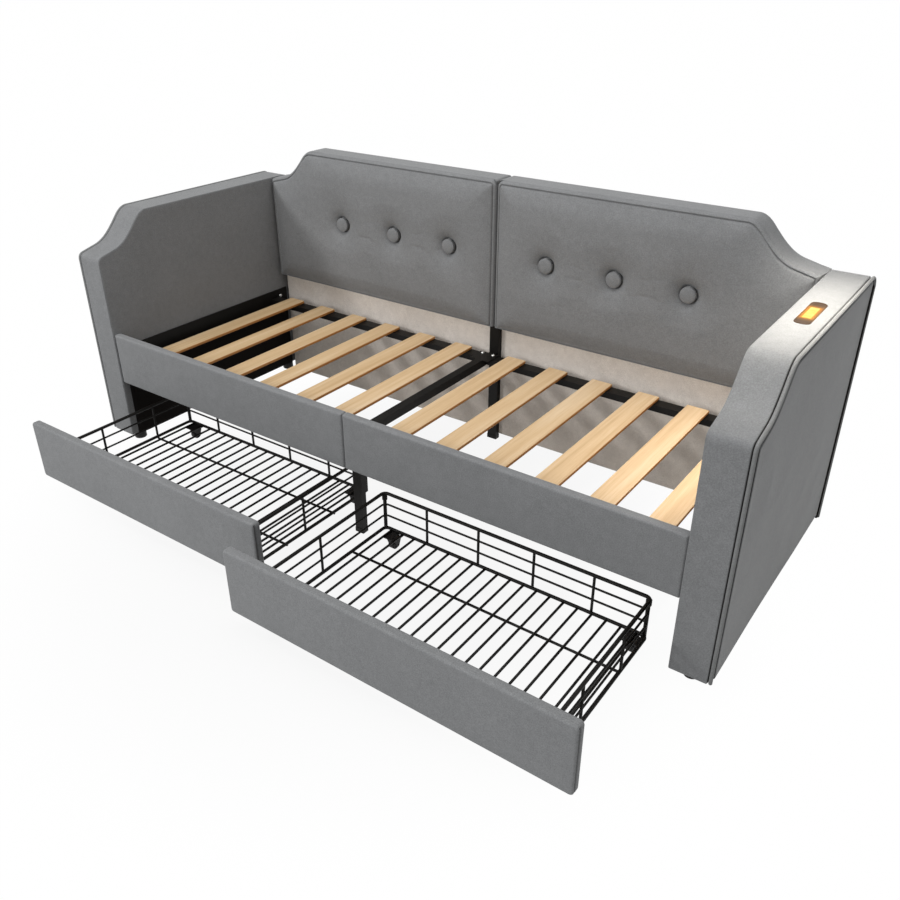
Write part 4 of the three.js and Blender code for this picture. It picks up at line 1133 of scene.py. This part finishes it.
def make_bolt(node, axis):
    """A domed bolt head with a hollow in its top, looking along its axis."""
    low, high, base = box_of(node)
    profile = [(0, -BOLT_SHANK), (0.003, -BOLT_SHANK), (0.003, 0), (BOLT_HEAD, 0), (0.00605, 0.0008),
               *[(BOLT_HEAD * math.cos(a), 0.0008 + 0.0027 * math.sin(a)) for a in np.linspace(0.1, 1.1, 6)],
               (0.0022, 0.0031), (0.0016, 0.0020), (0, 0.0019)]
    n = [abs(c) for c in axis].index(1)
    base[n] = low[n] + BOLT_SHANK if axis[n] > 0 else high[n] - BOLT_SHANK
    turned(f"turned_{node}", node, profile, 32, base, axis, ZINC, "daybed", "bright_bolts")


def ring_stack(loop, rings):
    """A closed form over an outline: rings hold (inset from the outline, height), from foot to top."""
    low, high = loop.min(axis=0), loop.max(axis=0)
    middle, half = (low + high) / 2, (high - low) / 2
    points = [(x, y, z) for inset, z in rings for x, y in middle + (loop - middle) * (1 - inset / half)]
    return points, skin(ring_numbers(len(rings), len(loop)), capped=True)


def make_lamp():
    """The lamp in the right arm's top: a smoked amber cover round a lit panel."""
    low, high, _ = box_of("lamp_cover")
    glow_low, glow_high, centre = box_of("lamp_light")
    top = high[2]
    amber = amber_material("amber_lens", centre[:2], (glow_high - glow_low)[:2] / 2)
    cover = [(0.0, low[2])] + [(inset, top + rise) for inset, rise in LENS_EDGE]
    outline = rounded_loop(low[0], high[0], low[1], high[1], LENS_CORNER)
    lens = new_piece("lamp_lens", *ring_stack(outline, cover), amber, "daybed", "amber_lens")
    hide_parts("lamp_cover")
    glow = glow_material("lit_panel")
    cover = [(0.0, glow_low[2])] + [(inset, top + rise) for inset, rise in PANEL_EDGE]
    outline = rounded_loop(glow_low[0], glow_high[0], glow_low[1], glow_high[1], PANEL_CORNER)
    panel = new_piece("lamp_panel", *ring_stack(outline, cover), glow, "daybed", "lit_panel")
    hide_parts("lamp_light")


# Build

for word, sign in SIDES.items():
    make_arm(word, sign)
    make_back(word, sign)
    make_boards(word, sign)
    make_basket(word, sign)
    make_casters(word, sign)
    for count in range(1, len(BUTTON_X) + 1):
        make_button(word, count)
    for place in ("front", "rear"):
        make_foot(f"foot_{word}_{place}")
    make_bolt(f"end_rail_bolt_{word}", (-sign, 0, 0))
    make_bolt(f"cross_tube_bolt_{word}", (0, 0, 1))
make_lamp()

STEEL_EDGE = 0.0007
SKINS = {"pine": WOOD, "black_steel": STEEL, "black_lining": BLACK_CLOTH, "black_plastic": PLASTIC}
SLOTS = {part["node"]: part["material_slot"] for part in frame["record"]["subparts"]}
for node_name, node in frame["nodes"].items():
    if SLOTS[node_name] in SKINS:
        node.data.materials.clear()
        node.data.materials.append(SKINS[SLOTS[node_name]])
for node_name in ("end_rail_left", "end_rail_right", "cross_tube", "front_support_leg", "rear_support_post",
                  "rear_rail_left", "rear_rail_right"):
    bevelled(frame["nodes"][node_name], STEEL_EDGE)


# Stage, light and camera

# Each lamp: place, aim, size, power and colour
KEY = ((-2.8, -3.75, 2.45), (0.0, 0.0, 0.35), (0.65, 0.65), 77, (1, 1, 1))
OVERHEAD = ((0.3, -0.3, 4.4), (0.0, 0.0, 0.3), (4.0, 3.4), 118, (1, 1, 1))
FILL = ((-0.3, -9.0, 3.5), (0.0, 0.0, 0.4), (5.2, 3.4), 210, (0.98, 0.99, 1))
ARM_LAMP_X = (ARM_INNER + ARM_OUTER) / 2
ARM_LAMP_Y = 0.265
ARM_LAMP = ((ARM_LAMP_X, ARM_LAMP_Y, ARM_TOP + 0.34), (ARM_LAMP_X, ARM_LAMP_Y, ARM_TOP), (0.08, 0.50), 1.72,
            (1.0, 0.94, 0.84))
ARM_LAMP_SPREAD = 82
WORLD_LIGHT = 0.395
FLOOR_REACH = 60.0
FLOOR_TONE = 0.60
# The floor's white share, lowered near the bed as painted shade: its middle, the distances it fades over,
# and the share near and far
FLOOR_MIDDLE = (0.0, -0.1)
FLOOR_FADE = (0.5, 1.2)
FLOOR_WHITENESS = (0.885, 0.998)


def backdrop():
    """A white floor that still takes soft shadows, greyed near the bed as painted shade by a smaller white
    share there.
    """
    corners = [(x * FLOOR_REACH, y * FLOOR_REACH, 0) for x, y in ((-1, -1), (1, -1), (1, 1), (-1, 1))]
    floor = in_scene("floor", new_mesh("floor", corners, [(0, 1, 2, 3)]))
    n = new_material("white_floor")
    n.set(Base_Color=FLOOR_TONE, Roughness=0.9, Specular_IOR_Level=0.0)
    limits = {"From Min": FLOOR_FADE[0], "From Max": FLOOR_FADE[1], "To Min": FLOOR_WHITENESS[0],
              "To Max": FLOOR_WHITENESS[1], "Value": n.away(FLOOR_MIDDLE)}
    fade = n.add("ShaderNodeMapRange", limits, interpolation_type="SMOOTHSTEP").outputs["Result"]
    white = n.add("ShaderNodeEmission", {"Strength": 1.0}).outputs[0]
    share = n.math("MULTIPLY", seen_directly(n), fade)
    mix = n.add("ShaderNodeMixShader", {0: share, 1: n.shader.outputs[0], 2: white})
    n.feed(n.tree.nodes["Material Output"].inputs["Surface"], mix.outputs[0])
    floor.data.materials.append(n.owner)


def seen_directly(n):
    """One for rays from the camera, in reflections and through glass, zero for light on the object."""
    rays = n.add("ShaderNodeLightPath").outputs
    seen = n.math("MAXIMUM", rays["Is Camera Ray"], rays["Is Glossy Ray"])
    return n.math("MAXIMUM", seen, rays["Is Transmission Ray"])


def world_light():
    """An even sky that shows white to the camera and in reflections."""
    world = bpy.data.worlds.new("studio")
    bpy.context.scene.world = world
    n = Nodes(world, "Background")
    pick = n.add("ShaderNodeMapRange", {"To Min": WORLD_LIGHT, "To Max": 1.0, "Value": seen_directly(n)})
    n.set(Color=1.0, Strength=pick.outputs["Result"])


def area_light(name, place, target, size, power, colour):
    data = bpy.data.lights.new(name, "AREA")
    data.shape = "RECTANGLE"
    data.size, data.size_y = size
    data.energy = power
    data.color = colour
    light = in_scene(name, data)
    light.location = place
    light.rotation_euler = (Vector(target) - Vector(place)).to_track_quat("-Z", "Y").to_euler()
    return light


backdrop()
world_light()
for label, lamp in (("key", KEY), ("overhead", OVERHEAD), ("fill", FILL)):
    area_light(label, *lamp)
arm_light = area_light("arm_lamp", *ARM_LAMP)
arm_light.data.spread = math.radians(ARM_LAMP_SPREAD)
arm_light.visible_camera = False

camera_data = bpy.data.cameras.new("camera")
camera_data.lens = CAMERA_LENS
camera_data.sensor_width = CAMERA_SENSOR
camera = in_scene("camera", camera_data)
camera.location = CAMERA_PLACE
camera.rotation_euler = (math.pi / 2 + CAMERA_PITCH, 0, CAMERA_YAW)
bpy.context.scene.camera = camera
bpy.context.scene.view_settings.view_transform = "Standard"
